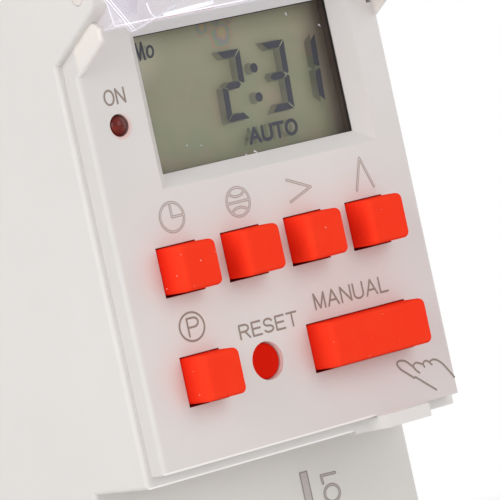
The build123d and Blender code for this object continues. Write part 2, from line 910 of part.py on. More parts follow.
led_indicator.part.label = "led_indicator"
export_step(led_indicator.part, "parts/led_indicator.step")

# Circuit boards

with BuildPart() as display_board:
    with BuildSketch(across(display_board_reach)):
        Rectangle(2 * (inner_half_width - board_margin), 2 * (inner_nose_half - board_margin))
    extrude(amount=-board_thickness)

display_board.part.label = "display_board"
export_step(display_board.part, "parts/display_board.step")

with BuildPart() as power_board:
    with BuildSketch(across(power_board_reach)):
        Rectangle(power_board_width, power_board_height)
    extrude(amount=-board_thickness)

power_board.part.label = "power_board"
export_step(power_board.part, "parts/power_board.step")

# Parts behind the display board

display_back_reach = display_board_reach - board_thickness

with BuildPart() as backup_battery:
    with BuildSketch(across(display_back_reach)):
        with Locations((battery_x, battery_height)):
            Circle(battery_radius)
    extrude(amount=-battery_thickness)

backup_battery.part.label = "backup_battery"
export_step(backup_battery.part, "parts/backup_battery.step")

with BuildPart() as controller_chip:
    with BuildSketch(across(display_back_reach)):
        with Locations((chip_x, chip_height)):
            Rectangle(chip_size, chip_size)
    extrude(amount=-chip_thickness)

controller_chip.part.label = "controller_chip"
export_step(controller_chip.part, "parts/controller_chip.step")

with BuildPart() as crystal:
    with BuildSketch(across(display_back_reach)):
        with Locations((crystal_x, crystal_height)):
            SlotOverall(crystal_length, 2 * crystal_radius)
    extrude(amount=-2 * crystal_radius)

crystal.part.label = "crystal"
export_step(crystal.part, "parts/crystal.step")

with BuildPart() as board_link:
    with BuildSketch(across(power_board_reach)):
        for index in range(link_count):
            with Locations((link_first_x + index * link_pitch, link_height)):
                Rectangle(link_pin, link_pin)
    extrude(amount=display_back_reach - power_board_reach)

board_link.part.label = "board_link"
export_step(board_link.part, "parts/board_link.step")

# Parts on the power board

with BuildPart() as relay:
    with BuildSketch(across(power_board_reach)):
        with Locations((relay_x, relay_height)):
            Rectangle(relay_width, relay_length)
    extrude(amount=relay_depth)
    fillet(relay.edges().filter_by(Axis.Y), film_round)

relay.part.label = "relay"
export_step(relay.part, "parts/relay.step")

with BuildPart() as film_capacitor:
    with BuildSketch(across(power_board_reach)):
        with Locations((film_x, film_height)):
            RectangleRounded(film_width, film_length, film_round)
    extrude(amount=film_depth)

film_capacitor.part.label = "film_capacitor"
export_step(film_capacitor.part, "parts/film_capacitor.step")

with BuildPart() as electrolytic_capacitors:
    with BuildSketch(across(power_board_reach)):
        for can_height in can_heights:
            with Locations((can_x, can_height)):
                Circle(can_radius)
    extrude(amount=can_depth)

electrolytic_capacitors.part.label = "electrolytic_capacitors"
export_step(electrolytic_capacitors.part, "parts/electrolytic_capacitors.step")

with BuildPart() as surge_disc:
    with BuildSketch(lengthwise(disc_x - disc_thickness / 2)):
        with Locations((-power_board_reach - disc_stand - disc_radius, disc_height)):
            Circle(disc_radius)
    extrude(amount=disc_thickness)
    with BuildSketch(across(power_board_reach)):
        with Locations((disc_x, disc_height - disc_radius / 2), (disc_x, disc_height + disc_radius / 2)):
            Rectangle(lead_width, lead_width)
    extrude(amount=disc_stand + disc_radius)

surge_disc.part.label = "surge_disc"
export_step(surge_disc.part, "parts/surge_disc.step")


# Screw terminals: a captive screw lifts a cage that clamps the wire to a fixed bar

def terminal_screw(name, terminal_x, side):
    with BuildPart() as screw:
        with BuildSketch(across(shelf_reach)):
            with Locations((terminal_x, side * terminal_height)):
                Circle(screw_head_radius)
        extrude(amount=screw_head_thickness)
        with BuildSketch(across(shelf_reach)):
            with Locations((terminal_x, side * terminal_height)):
                Circle(screw_shank_radius)
        extrude(amount=clamp_front_reach - clamp_nut_thickness - shelf_reach)
        with BuildSketch(across(shelf_reach + screw_head_thickness)):
            with Locations((terminal_x, side * terminal_height)):
                Rectangle(2 * screw_head_radius, screw_slot_width)
        extrude(amount=-screw_slot_depth, mode=Mode.SUBTRACT)
    screw.part.label = name
    export_step(screw.part, f"parts/{name}.step")


def terminal_clamp(name, terminal_x, side):
    opening_length = bar_gap + bar_thickness + wire_space
    clamp_length = clamp_nut_thickness + opening_length + clamp_wall
    with BuildPart() as clamp:
        with BuildSketch(across(clamp_front_reach)):
            with Locations((terminal_x, side * terminal_height)):
                Rectangle(clamp_width, clamp_depth)
        extrude(amount=-clamp_length)
        with BuildSketch(across(clamp_front_reach - clamp_nut_thickness)):
            with Locations((terminal_x, side * terminal_height)):
                Rectangle(clamp_width - 2 * clamp_wall, clamp_depth)
        extrude(amount=-opening_length, mode=Mode.SUBTRACT)
        with BuildSketch(across(clamp_front_reach)):
            with Locations((terminal_x, side * terminal_height)):
                Circle(screw_shank_radius + screw_bore_fit)
        extrude(amount=-clamp_nut_thickness, mode=Mode.SUBTRACT)
    clamp.part.label = name
    export_step(clamp.part, f"parts/{name}.step")


def contact_bar(name, terminal_x, side):
    with BuildPart() as bar:
        with BuildSketch(lengthwise(terminal_x - bar_width / 2)):
            with BuildLine():
                Polyline(
                    (-bar_reach, side * (terminal_height + bar_tip)),
                    (-bar_reach, side * bar_leg_height),
                    (-power_board_reach, side * bar_leg_height),
                    (-power_board_reach, side * (bar_leg_height + bar_thickness)),
                    (-bar_reach + bar_thickness, side * (bar_leg_height + bar_thickness)),
                    (-bar_reach + bar_thickness, side * (terminal_height + bar_tip)),
                    close=True,
                )
            make_face()
        extrude(amount=bar_width)
    bar.part.label = name
    export_step(bar.part, f"parts/{name}.step")


for number, terminal_x, side in terminals:
    terminal_screw(f"terminal_screw_{number}", terminal_x, side)
    terminal_clamp(f"terminal_clamp_{number}", terminal_x, side)
    contact_bar(f"contact_bar_{number}", terminal_x, side)
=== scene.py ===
# %% [markdown]
# # A digital timer switch
# The frame is a model of a timer that clips onto a rail in a distribution board. It comes
# from the CAD side with every piece in place, in metres, with the rail behind it and its
# keys facing -Y. This file gives it its looks: what each plastic, metal and glass is, what
# is printed on it, and the light and camera of a catalogue photograph.
# Each step first says what the real piece is and how it could be made here.

# %% Load the frame
import math

import bpy
from mathutils import Matrix, Vector


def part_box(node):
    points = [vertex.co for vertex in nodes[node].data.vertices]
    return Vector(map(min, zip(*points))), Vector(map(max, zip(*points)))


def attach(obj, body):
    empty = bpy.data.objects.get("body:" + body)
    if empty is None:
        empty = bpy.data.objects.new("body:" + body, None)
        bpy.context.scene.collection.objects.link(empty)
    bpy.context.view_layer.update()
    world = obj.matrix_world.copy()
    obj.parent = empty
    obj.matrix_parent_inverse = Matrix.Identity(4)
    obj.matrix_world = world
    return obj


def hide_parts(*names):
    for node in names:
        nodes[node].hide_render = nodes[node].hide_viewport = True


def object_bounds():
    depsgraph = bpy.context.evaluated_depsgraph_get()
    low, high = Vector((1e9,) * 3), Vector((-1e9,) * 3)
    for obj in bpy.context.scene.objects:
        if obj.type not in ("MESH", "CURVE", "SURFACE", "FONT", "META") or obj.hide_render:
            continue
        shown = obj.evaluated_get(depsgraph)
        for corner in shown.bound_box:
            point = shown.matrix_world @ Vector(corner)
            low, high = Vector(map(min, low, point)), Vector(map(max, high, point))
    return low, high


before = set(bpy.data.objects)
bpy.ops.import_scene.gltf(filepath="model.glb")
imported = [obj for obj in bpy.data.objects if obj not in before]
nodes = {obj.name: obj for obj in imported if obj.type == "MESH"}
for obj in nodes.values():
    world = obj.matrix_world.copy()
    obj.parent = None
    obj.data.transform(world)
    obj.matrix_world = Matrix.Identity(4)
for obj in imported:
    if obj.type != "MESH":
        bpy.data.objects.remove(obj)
cad_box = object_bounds()
MM = 0.001
print("nodes in the frame:", len(nodes))

# %% [markdown]
# Colours are easiest to judge as a screen shows them, from 0 to 255, while a shader works
# with light, which is linear. One small function turns the first into the second, so every
# colour below can be compared with the photograph by eye.

# %% Colours
def tint(red, green, blue):
    """A shader colour for the colour that a screen shows as these three numbers."""
    channels = []
    for value in (red, green, blue):
        share = value / 255
        channels.append(share / 12.92 if share <= 0.04045 else ((share + 0.055) / 1.055) ** 2.4)
    return (*channels, 1.0)


print("mid grey as light:", round(tint(128, 128, 128)[0], 3))

# %% [markdown]
# A finish is a tree of shader nodes. Written out node by node it hides the idea, so a small
# class wraps a socket and lets it be added, multiplied and compared like a number, and
# another holds the tree of one finish and adds every other kind of node with one method.

# %% Shader arithmetic
class Signal:
    """A shader socket that takes part in ordinary arithmetic."""

    def __init__(self, finish, socket):
        self.finish = finish
        self.socket = socket

    def math(self, operation, first, second):
        return self.finish.add("ShaderNodeMath", {"operation": operation}, {0: first, 1: second})

    def __add__(self, other):
        return self.math("ADD", self, other)

    def __radd__(self, other):
        return self.math("ADD", other, self)

    def __sub__(self, other):
        return self.math("SUBTRACT", self, other)

    def __rsub__(self, other):
        return self.math("SUBTRACT", other, self)

    def __mul__(self, other):
        return self.math("MULTIPLY", self, other)

    def __rmul__(self, other):
        return self.math("MULTIPLY", other, self)

    def __truediv__(self, other):
        return self.math("DIVIDE", self, other)

    def __rtruediv__(self, other):
        return self.math("DIVIDE", other, self)

    def __pow__(self, other):
        return self.math("POWER", self, other)

    def __lt__(self, other):
        return self.math("LESS_THAN", self, other)


def pick(sockets, key):
    """The socket at this place, or of this name, among those that are in use."""
    usable = [socket for socket in sockets if socket.enabled]
    return usable[key] if isinstance(key, int) else next(one for one in usable if one.name == key)


class Finish:
    """One material, or the world, while it is made: its nodes, and the shader that they feed."""

    def __init__(self, name, owner=None):
        self.material = owner or bpy.data.materials.new(name)
        self.material.use_nodes = True
        self.tree = self.material.node_tree
        self.surface = self.tree.nodes["Background" if owner else "Principled BSDF"]
        self.output = self.tree.nodes["World Output" if owner else "Material Output"]

    def add(self, kind, settings=None, inputs=None, output=0):
        """Adds a node of this kind: settings first, then values or links, and returns an output."""
        node = self.tree.nodes.new(kind)
        for name, value in (settings or {}).items():
            if name == "stops":
                while len(node.color_ramp.elements) < len(value):
                    node.color_ramp.elements.new(1.0)
                for stop, (spot, colour) in zip(node.color_ramp.elements, value):
                    stop.position = spot
                    stop.color = colour
            else:
                setattr(node, name, value)
        for key, value in (inputs or {}).items():
            self.feed(node, key, value)
        return Signal(self, pick(node.outputs, output))

    def feed(self, node, key, value):
        socket = pick(node.inputs, key)
        if isinstance(value, Signal):
            self.tree.links.new(value.socket, socket)
        else:
            socket.default_value = value

    def surface_is(self, **values):
        """Sets sockets of the main shader: Base_Color, Roughness, Coat_Weight and so on."""
        for key, value in values.items():
            self.feed(self.surface, key.replace("_", " "), value)
        return self.material

    def shows(self, share, other):
        """Ends the tree in a mix of the main shader and another one, by this share."""
        both = self.add("ShaderNodeMixShader", inputs={0: share}).socket.node
        self.tree.links.new(self.surface.outputs[0], both.inputs[1])
        self.tree.links.new(other.socket, both.inputs[2])
        self.tree.links.new(both.outputs[0], self.output.inputs["Surface"])
        return self.material


trial = Finish("trial")
trial.surface_is(Roughness=1 - trial.add("ShaderNodeTexNoise") * 0.5)
print("a sum of nodes:", len(trial.tree.nodes), "nodes")
bpy.data.materials.remove(trial.material)

# %% [markdown]
# Most patterns below come from a few sources: a soft cloud, a fine grain, and scattered
# specks. They are read from object coordinates, which in this frame are metres, so a scale
# of 1000 makes features of about a millimetre. They stay put when a piece moves.

# %% Pattern sources
EVEN = (1.0, 1.0, 1.0)


def place(finish, stretch=EVEN):
    """Position on the piece, stretched along its axes where a pattern has a direction."""
    spot = finish.add("ShaderNodeTexCoord", output="Object")
    if stretch == EVEN:
        return spot
    return finish.add("ShaderNodeVectorMath", {"operation": "MULTIPLY"}, {0: spot, 1: stretch})


def cloud(finish, size, detail=2.0, stretch=EVEN):
    """Soft noise around 0.5, with features about this many millimetres wide."""
    inputs = {"Vector": place(finish, stretch), "Scale": 1 / (size * MM), "Detail": detail}
    return finish.add("ShaderNodeTexNoise", inputs=inputs)


def specks(finish, spacing, size, share):
    """1 on small round specks: one in each cell of this spacing, and only in a share of them."""
    settings = {"feature": "F1"}
    inputs = {"Vector": place(finish), "Scale": 1 / (spacing * MM)}
    near = finish.add("ShaderNodeTexVoronoi", settings, inputs, output="Distance")
    cell = finish.add("ShaderNodeTexVoronoi", settings, inputs, output="Color")
    chance = finish.add("ShaderNodeSeparateColor", inputs={"Color": cell}, output="Red")
    return (near < size / spacing) * (chance < share)


def mixed(finish, share, first, second):
    """Colour between two others, by a share that varies over the surface."""
    inputs = {"Factor": share, "A": first, "B": second}
    return finish.add("ShaderNodeMix", {"data_type": "RGBA"}, inputs, output="Result")


def layered(finish, base, *layers):
    """Mixes further colours over the first, each by its own share."""
    for share, colour in layers:
        base = mixed(finish, share, base, colour)
    return base


def bumped(finish, height, depth):
    """Small relief from a height between 0 and 1, this many millimetres deep."""
    inputs = {"Strength": 1.0, "Distance": depth * MM, "Height": height}
    return finish.add("ShaderNodeBump", inputs=inputs)


print("sources: place, cloud, specks, mixed, layered, bumped")

# %% [markdown]
# Where a finish changes with its place, a few measures say where: the position along an
# axis, the way the surface faces, and the distance from a point or a line. A soft step
# turns each measure into a share between 0 and 1.

# %% Measures on a piece
def part_of(finish, vector, axis):
    return finish.add("ShaderNodeSeparateXYZ", inputs={"Vector": vector}, output=axis)


def along(finish, axis):
    """Position along one axis in millimetres."""
    return part_of(finish, place(finish), axis) / MM


def facing(finish, axis):
    """How much the surface faces along one axis, from -1 to 1."""
    return part_of(finish, finish.add("ShaderNodeNewGeometry", output="Normal"), axis)


def distance(finish, x, y, z):
    """Distance from a point given in millimetres, in millimetres."""
    inputs = {0: place(finish), 1: (x * MM, y * MM, z * MM)}
    return finish.add("ShaderNodeVectorMath", {"operation": "DISTANCE"}, inputs, output="Value") / MM


def from_line(finish, y, z):
    """Distance from a line in the X direction, in millimetres."""
    return ((along(finish, "Y") - y) ** 2 + (along(finish, "Z") - z) ** 2) ** 0.5


def rising(finish, value, low, high):
    """0 below the first value, 1 beyond the second, and a soft rise between them."""
    inputs = {"Value": value, "From Min": low, "From Max": high}
    return finish.add("ShaderNodeMapRange", {"interpolation_type": "SMOOTHSTEP"}, inputs)


def falling(finish, value, low, high):
    """1 below the first value, 0 beyond the second, and a soft fall between them."""
    return 1 - rising(finish, value, low, high)


def between(finish, value, low, high, soft):
    """1 between two values and 0 outside them, with a soft step of this width at each."""
    return rising(finish, value, low, low + soft) * falling(finish, value, high - soft, high)


def box_mm(name):
    """Lowest and highest corner of a CAD node, in millimetres."""
    return [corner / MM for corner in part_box(name)]


# Where the fronts of the face plate, the nose and the shoulders lie, in millimetres.
PLATE_FRONT, NOSE_FRONT, SHOULDER = -53.84, -52.0, -44.0
reset_low, reset_high = box_mm("key_reset")
reset_x, reset_z = (reset_low.x + reset_high.x) / 2, (reset_low.z + reset_high.z) / 2
print("the reset key is at", round(reset_x, 2), round(reset_z, 2))

# %% [markdown]
# The housing, the face plate and the latch are moulded plastic from a fine spark-eroded
# tool. Such a surface is satin: a grain of a fifth of a millimetre that only shows in the
# gloss, a faint cloudiness from the moulding, and now and then a dust speck. Two functions
# serve them all, one for the colour and one for the gloss, because they differ in little.

# %% Moulded plastics
BLACK, PAINTED_HIGHLIGHT_WHITE, WHITE = tint(0, 0, 0), tint(250, 252, 252), (1.0, 1.0, 1.0, 1.0)
DUST, DUST_SPACING, DUST_SIZE = tint(150, 144, 138), 2.6, 0.05
MOULD_CLOUD, GRAIN, GRAIN_DEPTH = 14, 0.22, 0.004


def satin_colour(finish, colour, shade, dust=0.0):
    """Two close colours in a faint cloud, with dust specks in a share of their cells."""
    base = mixed(finish, (cloud(finish, MOULD_CLOUD, detail=3) - 0.35) * 1.6, shade, colour)
    if dust:
        base = mixed(finish, specks(finish, DUST_SPACING, DUST_SIZE, dust) * 0.5, base, DUST)
    return base


def satin_surface(finish, base, gloss, light=BLACK, strength=0.22):
    """Gloss and grain of the plastic, and the glow of a painted edge highlight in the colour given as light.
    """
    return finish.surface_is(
        Base_Color=base,
        Roughness=gloss + (cloud(finish, 5) - 0.5) * 0.10,
        Normal=bumped(finish, cloud(finish, GRAIN), GRAIN_DEPTH),
        Emission_Color=light,
        Emission_Strength=strength,
    )


def moulded(name, colour, shade, gloss):
    finish = Finish(name)
    return satin_surface(finish, satin_colour(finish, colour, shade), gloss)


latch_plastic = moulded("latch_plastic", tint(214, 213, 208), tint(205, 204, 199), 0.50)
plunger_plastic = moulded("plunger_plastic", tint(186, 180, 170), tint(172, 166, 156), 0.50)
black_plastic = moulded("black_plastic", tint(34, 34, 35), tint(24, 24, 25), 0.45)
print("moulded:", latch_plastic.name, plunger_plastic.name, black_plastic.name)

# %% [markdown]
# The housing's shoulders are painted darker to the right, a painted shade where the nose
# stands in their light, with less of it right under the nose. Its lower front edge gets a
# painted highlight, a glow along the edge. Both are given by position, so they need no
# picture and stay with the piece.

# %% Housing plastic
EDGE_REACH, EDGE_FADE = 0.16, 0.8
NOSE_EDGE, PLATE_EDGE = (NOSE_FRONT, -22.48, 6.0), (PLATE_FRONT + 0.02, -21.45, 7.4)


def painted_edge_highlight(finish, y, z, end):
    """Mask of a painted highlight: 1 along a line in the X direction up to its end, and 0 away from it."""
    near = falling(finish, from_line(finish, y, z), EDGE_REACH * 0.6, EDGE_REACH)
    return near * falling(finish, along(finish, "X"), end - EDGE_FADE, end)


def housing_finish():
    finish = Finish("housing_plastic")
    x, y, z = (along(finish, axis) for axis in "XYZ")
    base = satin_colour(finish, tint(235, 232, 229), tint(229, 226, 223), 0.05)
    # painted shade on the shoulders toward the right, less of it right under the nose
    painted_shoulder_shade = rising(finish, x, -12.0, 18.0) * rising(finish, y, -50.0, -45.0)
    painted_shoulder_shade = painted_shoulder_shade * falling(finish, y, SHOULDER, SHOULDER + 0.2)
    painted_shoulder_shade = painted_shoulder_shade * (1 - rising(finish, z, -29.0, -22.5) * 0.9)
    base = mixed(finish, painted_shoulder_shade, base, tint(219, 216, 212))
    # painted highlight: a glow along the nose's lower front edge
    light = mixed(finish, painted_edge_highlight(finish, *NOSE_EDGE), BLACK, PAINTED_HIGHLIGHT_WHITE)
    return satin_surface(finish, base, 0.46, light)


housing_plastic = housing_finish()
print("housing:", len(housing_plastic.node_tree.nodes), "nodes")

# %% [markdown]
# The face plate is thin and bounces light about, and that light and shade are painted into its
# colour. There is painted shade tinged with the keys' red toward the lower right. The proud ears
# are painted darker on their fronts, warm on their left sides and pale below, and faces that look
# down, such as the window's upper wall, get a painted cool light. The keys' red is painted on the
# walls of the key holes as reflected light, except in the hole of the reset key, which is open and
# painted pale with a glow. A painted pale red reflection lies round the lamp, and a painted
# highlight runs along the plate's lower edge.

# %% Face plate
KEY_FIELD_X, KEY_FIELD_Z, FIELD_EDGE = (-16.6, 16.6), (-21.2, 2.6), 0.4
RESET_HOLE, LAMP_SPOT, LAMP_REFLECTION_REACH = (2.6, 2.9), (-13.78, PLATE_FRONT, 8.80), (0.95, 1.30)


def face_finish():
    finish = Finish("face_plastic")
    x, y, z = (along(finish, axis) for axis in "XYZ")
    proud = rising(finish, y, PLATE_FRONT - 0.02, -54.5)
    sideways = rising(finish, facing(finish, "X"), -0.3, -0.7)
    under = rising(finish, facing(finish, "Z"), -0.2, -0.6)
    hole = rising(finish, y, PLATE_FRONT + 0.04, PLATE_FRONT + 0.14)
    hole = hole * between(finish, z, *KEY_FIELD_Z, FIELD_EDGE) * between(finish, x, *KEY_FIELD_X, FIELD_EDGE)
    at_reset = falling(finish, distance(finish, reset_x, -53.2, reset_z), *RESET_HOLE)
    at_lamp = falling(finish, distance(finish, *LAMP_SPOT), *LAMP_REFLECTION_REACH)
    base = layered(
        finish,
        satin_colour(finish, tint(229, 225, 222), tint(223, 219, 216), 0.06),
        # painted shade, tinged with the keys' red, toward the lower right
        (rising(finish, x - z, 4.0, 36.0) * 0.7, tint(216, 204, 203)),
        # the ears painted in lit and shaded tones: darker fronts, warm left sides, pale undersides
        (proud, tint(217, 212, 209)),
        (proud * sideways, tint(240, 234, 228)),
        (under * proud, tint(244, 240, 236)),
        # painted cool light on faces that look down, such as the window's upper wall
        (under * (1 - proud) * 0.6, tint(248, 251, 255)),
        # painted reflection of the keys' red on the key holes' walls, and pale painted light in the open
        # reset hole
        (hole * (1 - at_reset), tint(214, 30, 12)),
        (hole * at_reset, tint(240, 228, 220)),
        # painted pale red reflection round the lamp
        (at_lamp * 0.4, tint(236, 150, 136)),
    )
    # painted highlight along the plate's lower edge, and a painted glow in the reset hole
    share = painted_edge_highlight(finish, *PLATE_EDGE) + hole * at_reset * 0.35
    return satin_surface(finish, base, 0.40, mixed(finish, share, BLACK, PAINTED_HIGHLIGHT_WHITE), 0.20)


face_plastic = face_finish()
print("face plate:", len(face_plastic.node_tree.nodes), "nodes")

# %% [markdown]
# Metals inside and at the terminals are small stamped or turned pieces. Zinc plating is
# pale with a faint cloud, brass is warm with rolling lines along the strip, a drawn can
# has fine rings round it. Direction is what sets them apart, so the noise is stretched.

# %% Metals
def metal(name, bright, dull, gloss, stretch):
    finish = Finish(name)
    lines = cloud(finish, 1.2, detail=3, stretch=stretch)
    tone = cloud(finish, 3)
    return finish.surface_is(
        Base_Color=mixed(finish, tone * 0.6 + lines * 0.4, dull, bright),
        Metallic=1.0,
        Roughness=gloss + (lines - 0.5) * 0.25,
        Normal=bumped(finish, lines, 0.003),
    )


zinc = metal("zinc_plating", tint(208, 209, 206), tint(168, 170, 170), 0.34, (6, 1, 6))
cage_steel = metal("cage_steel", tint(196, 198, 198), tint(150, 152, 154), 0.38, (1, 8, 1))
brass = metal("rolled_brass", tint(226, 190, 118), tint(190, 150, 84), 0.30, (9, 1, 1))
can_metal = metal("drawn_can", tint(204, 206, 208), tint(170, 172, 176), 0.30, (1, 9, 1))
spring_steel = metal("drawn_wire", tint(190, 192, 194), tint(120, 122, 126), 0.28, (1, 1, 6))
print("metals:", zinc.name, brass.name, can_metal.name)

# %% [markdown]
# The circuit boards, the relay and the other parts inside are seldom seen, only through
# gaps and with the housing off, but each still gets the finish it has on a bench: green
# solder mask over tracks, a moulded relay case, a potted capacitor, a coated disc.

# %% Inside finishes
def board_finish():
    finish = Finish("solder_mask")
    settings = {"feature": "DISTANCE_TO_EDGE"}
    inputs = {"Vector": place(finish), "Scale": 1 / (2.4 * MM)}
    gap = finish.add("ShaderNodeTexVoronoi", settings, inputs, output="Distance")
    track = gap < 0.09
    pads = specks(finish, 2.54, 0.45, 0.35)
    base = mixed(finish, track * 0.55, tint(24, 92, 52), tint(52, 132, 76))
    return finish.surface_is(
        Base_Color=mixed(finish, pads, base, tint(196, 192, 178)),
        Metallic=pads * 0.8,
        Roughness=0.38 + pads * 0.1 + (cloud(finish, 1.5) - 0.5) * 0.1,
        Normal=bumped(finish, track + pads, 0.02),
    )


def coated(name, colour, shade, gloss, grain):
    finish = Finish(name)
    lump = cloud(finish, 1.4, detail=3)
    return finish.surface_is(
        Base_Color=mixed(finish, lump, shade, colour),
        Roughness=gloss + (lump - 0.5) * 0.2,
        Normal=bumped(finish, lump, grain),
    )


solder_mask = board_finish()
relay_case = coated("relay_case", tint(40, 82, 150), tint(30, 66, 128), 0.28, 0.004)
film_case = coated("film_case", tint(214, 176, 60), tint(194, 152, 44), 0.3, 0.01)
disc_coat = coated("disc_coat", tint(64, 104, 160), tint(48, 84, 138), 0.35, 0.03)
chip_epoxy = coated("chip_epoxy", tint(44, 44, 46), tint(30, 30, 32), 0.55, 0.006)
pad_rubber = coated("pad_rubber", tint(206, 128, 132), tint(184, 104, 110), 0.6, 0.006)
print("inside:", solder_mask.name, relay_case.name, film_case.name)

# %% [markdown]
# Each CAD piece is of one material, so it takes one finish over its whole surface. The five
# terminals are alike, and their pieces are named by number.

# %% Hand out the finishes
def wear(finish, *names):
    """Gives the CAD nodes of these names one finish."""
    for name in names:
        mesh = nodes[name].data
        mesh.materials.clear()
        mesh.materials.append(finish)
        for face in mesh.polygons:
            face.material_index = 0


def each_terminal(name):
    return [f"{name}_{number}" for number in range(1, 6)]


wear(housing_plastic, "front_housing", "base_housing")
wear(face_plastic, "face_plate")
wear(latch_plastic, "din_latch")
wear(zinc, "case_screws", *each_terminal("terminal_screw"))
wear(cage_steel, *each_terminal("terminal_clamp"))
wear(brass, "board_link", *each_terminal("contact_bar"))
wear(can_metal, "electrolytic_capacitors", "crystal", "backup_battery")
wear(spring_steel, "latch_spring")
wear(solder_mask, "display_board", "power_board")
wear(relay_case, "relay")
wear(film_case, "film_capacitor")
wear(disc_coat, "surge_disc")
wear(chip_epoxy, "controller_chip")
wear(pad_rubber, "contact_strips")
wear(black_plastic, "lcd_holder", "switch_bodies")
wear(plunger_plastic, *(name for name in nodes if name.startswith("plunger_")))
print("nodes with a finish:", sum(1 for node in nodes.values() if node.data.materials))

# %% [markdown]
# New pieces are meshes in the frame's own coordinates, and each rides on the body that
# carries it. One helper makes the object, smooths it, and gives it its finish.

# %% Making a piece
def piece(name, points, faces, finish, body, slot, smooth=True):
    mesh = bpy.data.meshes.new(name)
    mesh.from_pydata(points, [], faces)
    mesh.validate()
    mesh.materials.append(finish)
    for face in mesh.polygons:
        face.use_smooth = smooth
    made = bpy.data.objects.new(name, mesh)
    bpy.context.scene.collection.objects.link(made)
    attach(made, body)
    return made


print("each new piece is a mesh that rides on a body")

# %% [markdown]
# The keys are moulded caps with soft front edges and slightly rounded corners. Their CAD
# blocks have small chamfers only. A cap can be lofted: a rounded rectangle is repeated at
# several depths, drawn in a little at the front along a quarter circle, and closed by a
# flat front. The left edge is the softest one, because there the mould's halves meet.

# %% Loft helper
def rounded_outline(centre_x, centre_z, width, height, corner, steps=6):
    """Points round a rectangle with rounded corners, seen from the front."""
    outline = []
    for index, (side_x, side_z) in enumerate(((1, 1), (-1, 1), (-1, -1), (1, -1))):
        for step in range(steps + 1):
            angle = math.radians(90 * index + 90 * step / steps)
            x = centre_x + side_x * (width / 2 - corner) + corner * math.cos(angle)
            z = centre_z + side_z * (height / 2 - corner) + corner * math.sin(angle)
            outline.append((x, z))
    return outline


def band(low, high, count, flip=False):
    """Faces between two rings of this many points, which start at these numbers."""
    faces = []
    for index in range(count):
        after = (index + 1) % count
        face = (low + index, low + after, high + after, high + index)
        faces.append((face[0], face[3], face[2], face[1]) if flip else face)
    return faces


def loft(rings):
    """Points and faces of a skin over rings of equal length, closed at both ends."""
    points = [Vector((x, y, z)) * MM for outline, y in rings for x, z in outline]
    count = len(rings[0][0])
    faces = [tuple(range(count))]
    for start in range(0, len(points) - count, count):
        faces += band(start, start + count, count, flip=True)
    faces.append(tuple(range(len(points) - 1, len(points) - count - 1, -1)))
    return points, faces


print("outline points:", len(rounded_outline(0, 0, 4, 4, 0.4)))

# %% [markdown]
# The keys are a deep orange red with fine lint on top. Painted shade darkens them toward the
# plate, where the hole shades them: at the foot of each cap and over the whole sunken reset key.
# Their soft left side gets a faint red glow, a painted light.

# %% Key finish
def key_finish():
    finish = Finish("key_red")
    lint = specks(finish, 1.1, 0.06, 0.34) + specks(finish, 0.6, 0.036, 0.22)
    base = layered(
        finish,
        mixed(finish, cloud(finish, 3), tint(255, 57, 34), tint(255, 69, 41)),
        # painted shade toward the plate: the foot of each cap and the whole sunken reset key
        (rising(finish, along(finish, "Y"), -56.4, -53.5) * 0.72, tint(204, 4, 3)),
        (lint * 0.8, tint(255, 205, 190)),
    )
    leftward = facing(finish, "X")
    # painted light: a faint red glow on the left sides
    painted_side_glow = rising(finish, leftward, -0.15, -0.5) * (1 - rising(finish, leftward, -0.6, -0.95) * 0.4)
    return finish.surface_is(
        Base_Color=base,
        Roughness=0.48 + (cloud(finish, 1.1) - 0.5) * 0.12,
        Specular_IOR_Level=0.0,
        Emission_Color=mixed(finish, painted_side_glow, BLACK, tint(255, 48, 20)),
        Emission_Strength=0.14,
        Normal=bumped(finish, cloud(finish, 0.18) + lint * 2, 0.004),
    )


key_red = key_finish()
print("keys:", len(key_red.node_tree.nodes), "nodes")

# %% [markdown]
# Each cap stands on a wider flange behind the plate, which keeps it from falling out. The
# five square keys and the wide one are lofted by one function from their CAD boxes, so the
# caps sit where the CAD keys are, and each replaces its key in the picture.

# %% Key caps
FLANGE, FLANGE_DEPTH, FLANGE_CORNER = 0.6, 0.8, 0.3
CAP_ROUND, CAP_TIGHT, CAP_DROP = 0.75, 0.32, 0.07
FOOT_CORNER, WAIST_CORNER, CAP_CORNER = 0.34, 0.40, 0.45
CAP_STEPS, INNER_RINGS = 8, (0.8, 0.6, 0.4, 0.2)


def key_cap(name):
    (left, front, bottom), (right, back, top) = box_mm(name)
    x, z = (left + right) / 2, (bottom + top) / 2
    width, height = right - left - 2 * FLANGE, top - bottom - 2 * FLANGE
    flange = rounded_outline(x, z, width + 2 * FLANGE, height + 2 * FLANGE, FLANGE_CORNER)
    z, height = z + CAP_DROP, height - 2 * CAP_DROP
    rings = [
        (flange, back),
        (flange, back - FLANGE_DEPTH),
        (rounded_outline(x, z, width, height, FOOT_CORNER), back - FLANGE_DEPTH),
        (rounded_outline(x, z, width, height, WAIST_CORNER), front + 2 * CAP_ROUND),
    ]
    for step in range(CAP_STEPS + 1):
        angle = math.radians(90 * step / CAP_STEPS)
        soft = CAP_ROUND * (1 - math.cos(angle))
        tight = CAP_TIGHT * (1 - math.cos(angle))
        shift = (soft - tight) / 2
        outline = rounded_outline(x + shift, z, width - soft - tight, height - 2 * tight, CAP_CORNER)
        rings.append((outline, front + CAP_ROUND * (1 - math.sin(angle)) * (1 - 0.4 * math.sin(angle))))
    width, height = width - CAP_ROUND - CAP_TIGHT, height - 2 * CAP_TIGHT
    for share in INNER_RINGS:
        outline = rounded_outline(x + shift, z, width * share, height * share, CAP_CORNER * share)
        rings.append((outline, front))
    cap = piece(f"{name}_cap", *loft(rings), key_red, f"{name}_body", "key_red")
    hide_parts(name)
    return cap


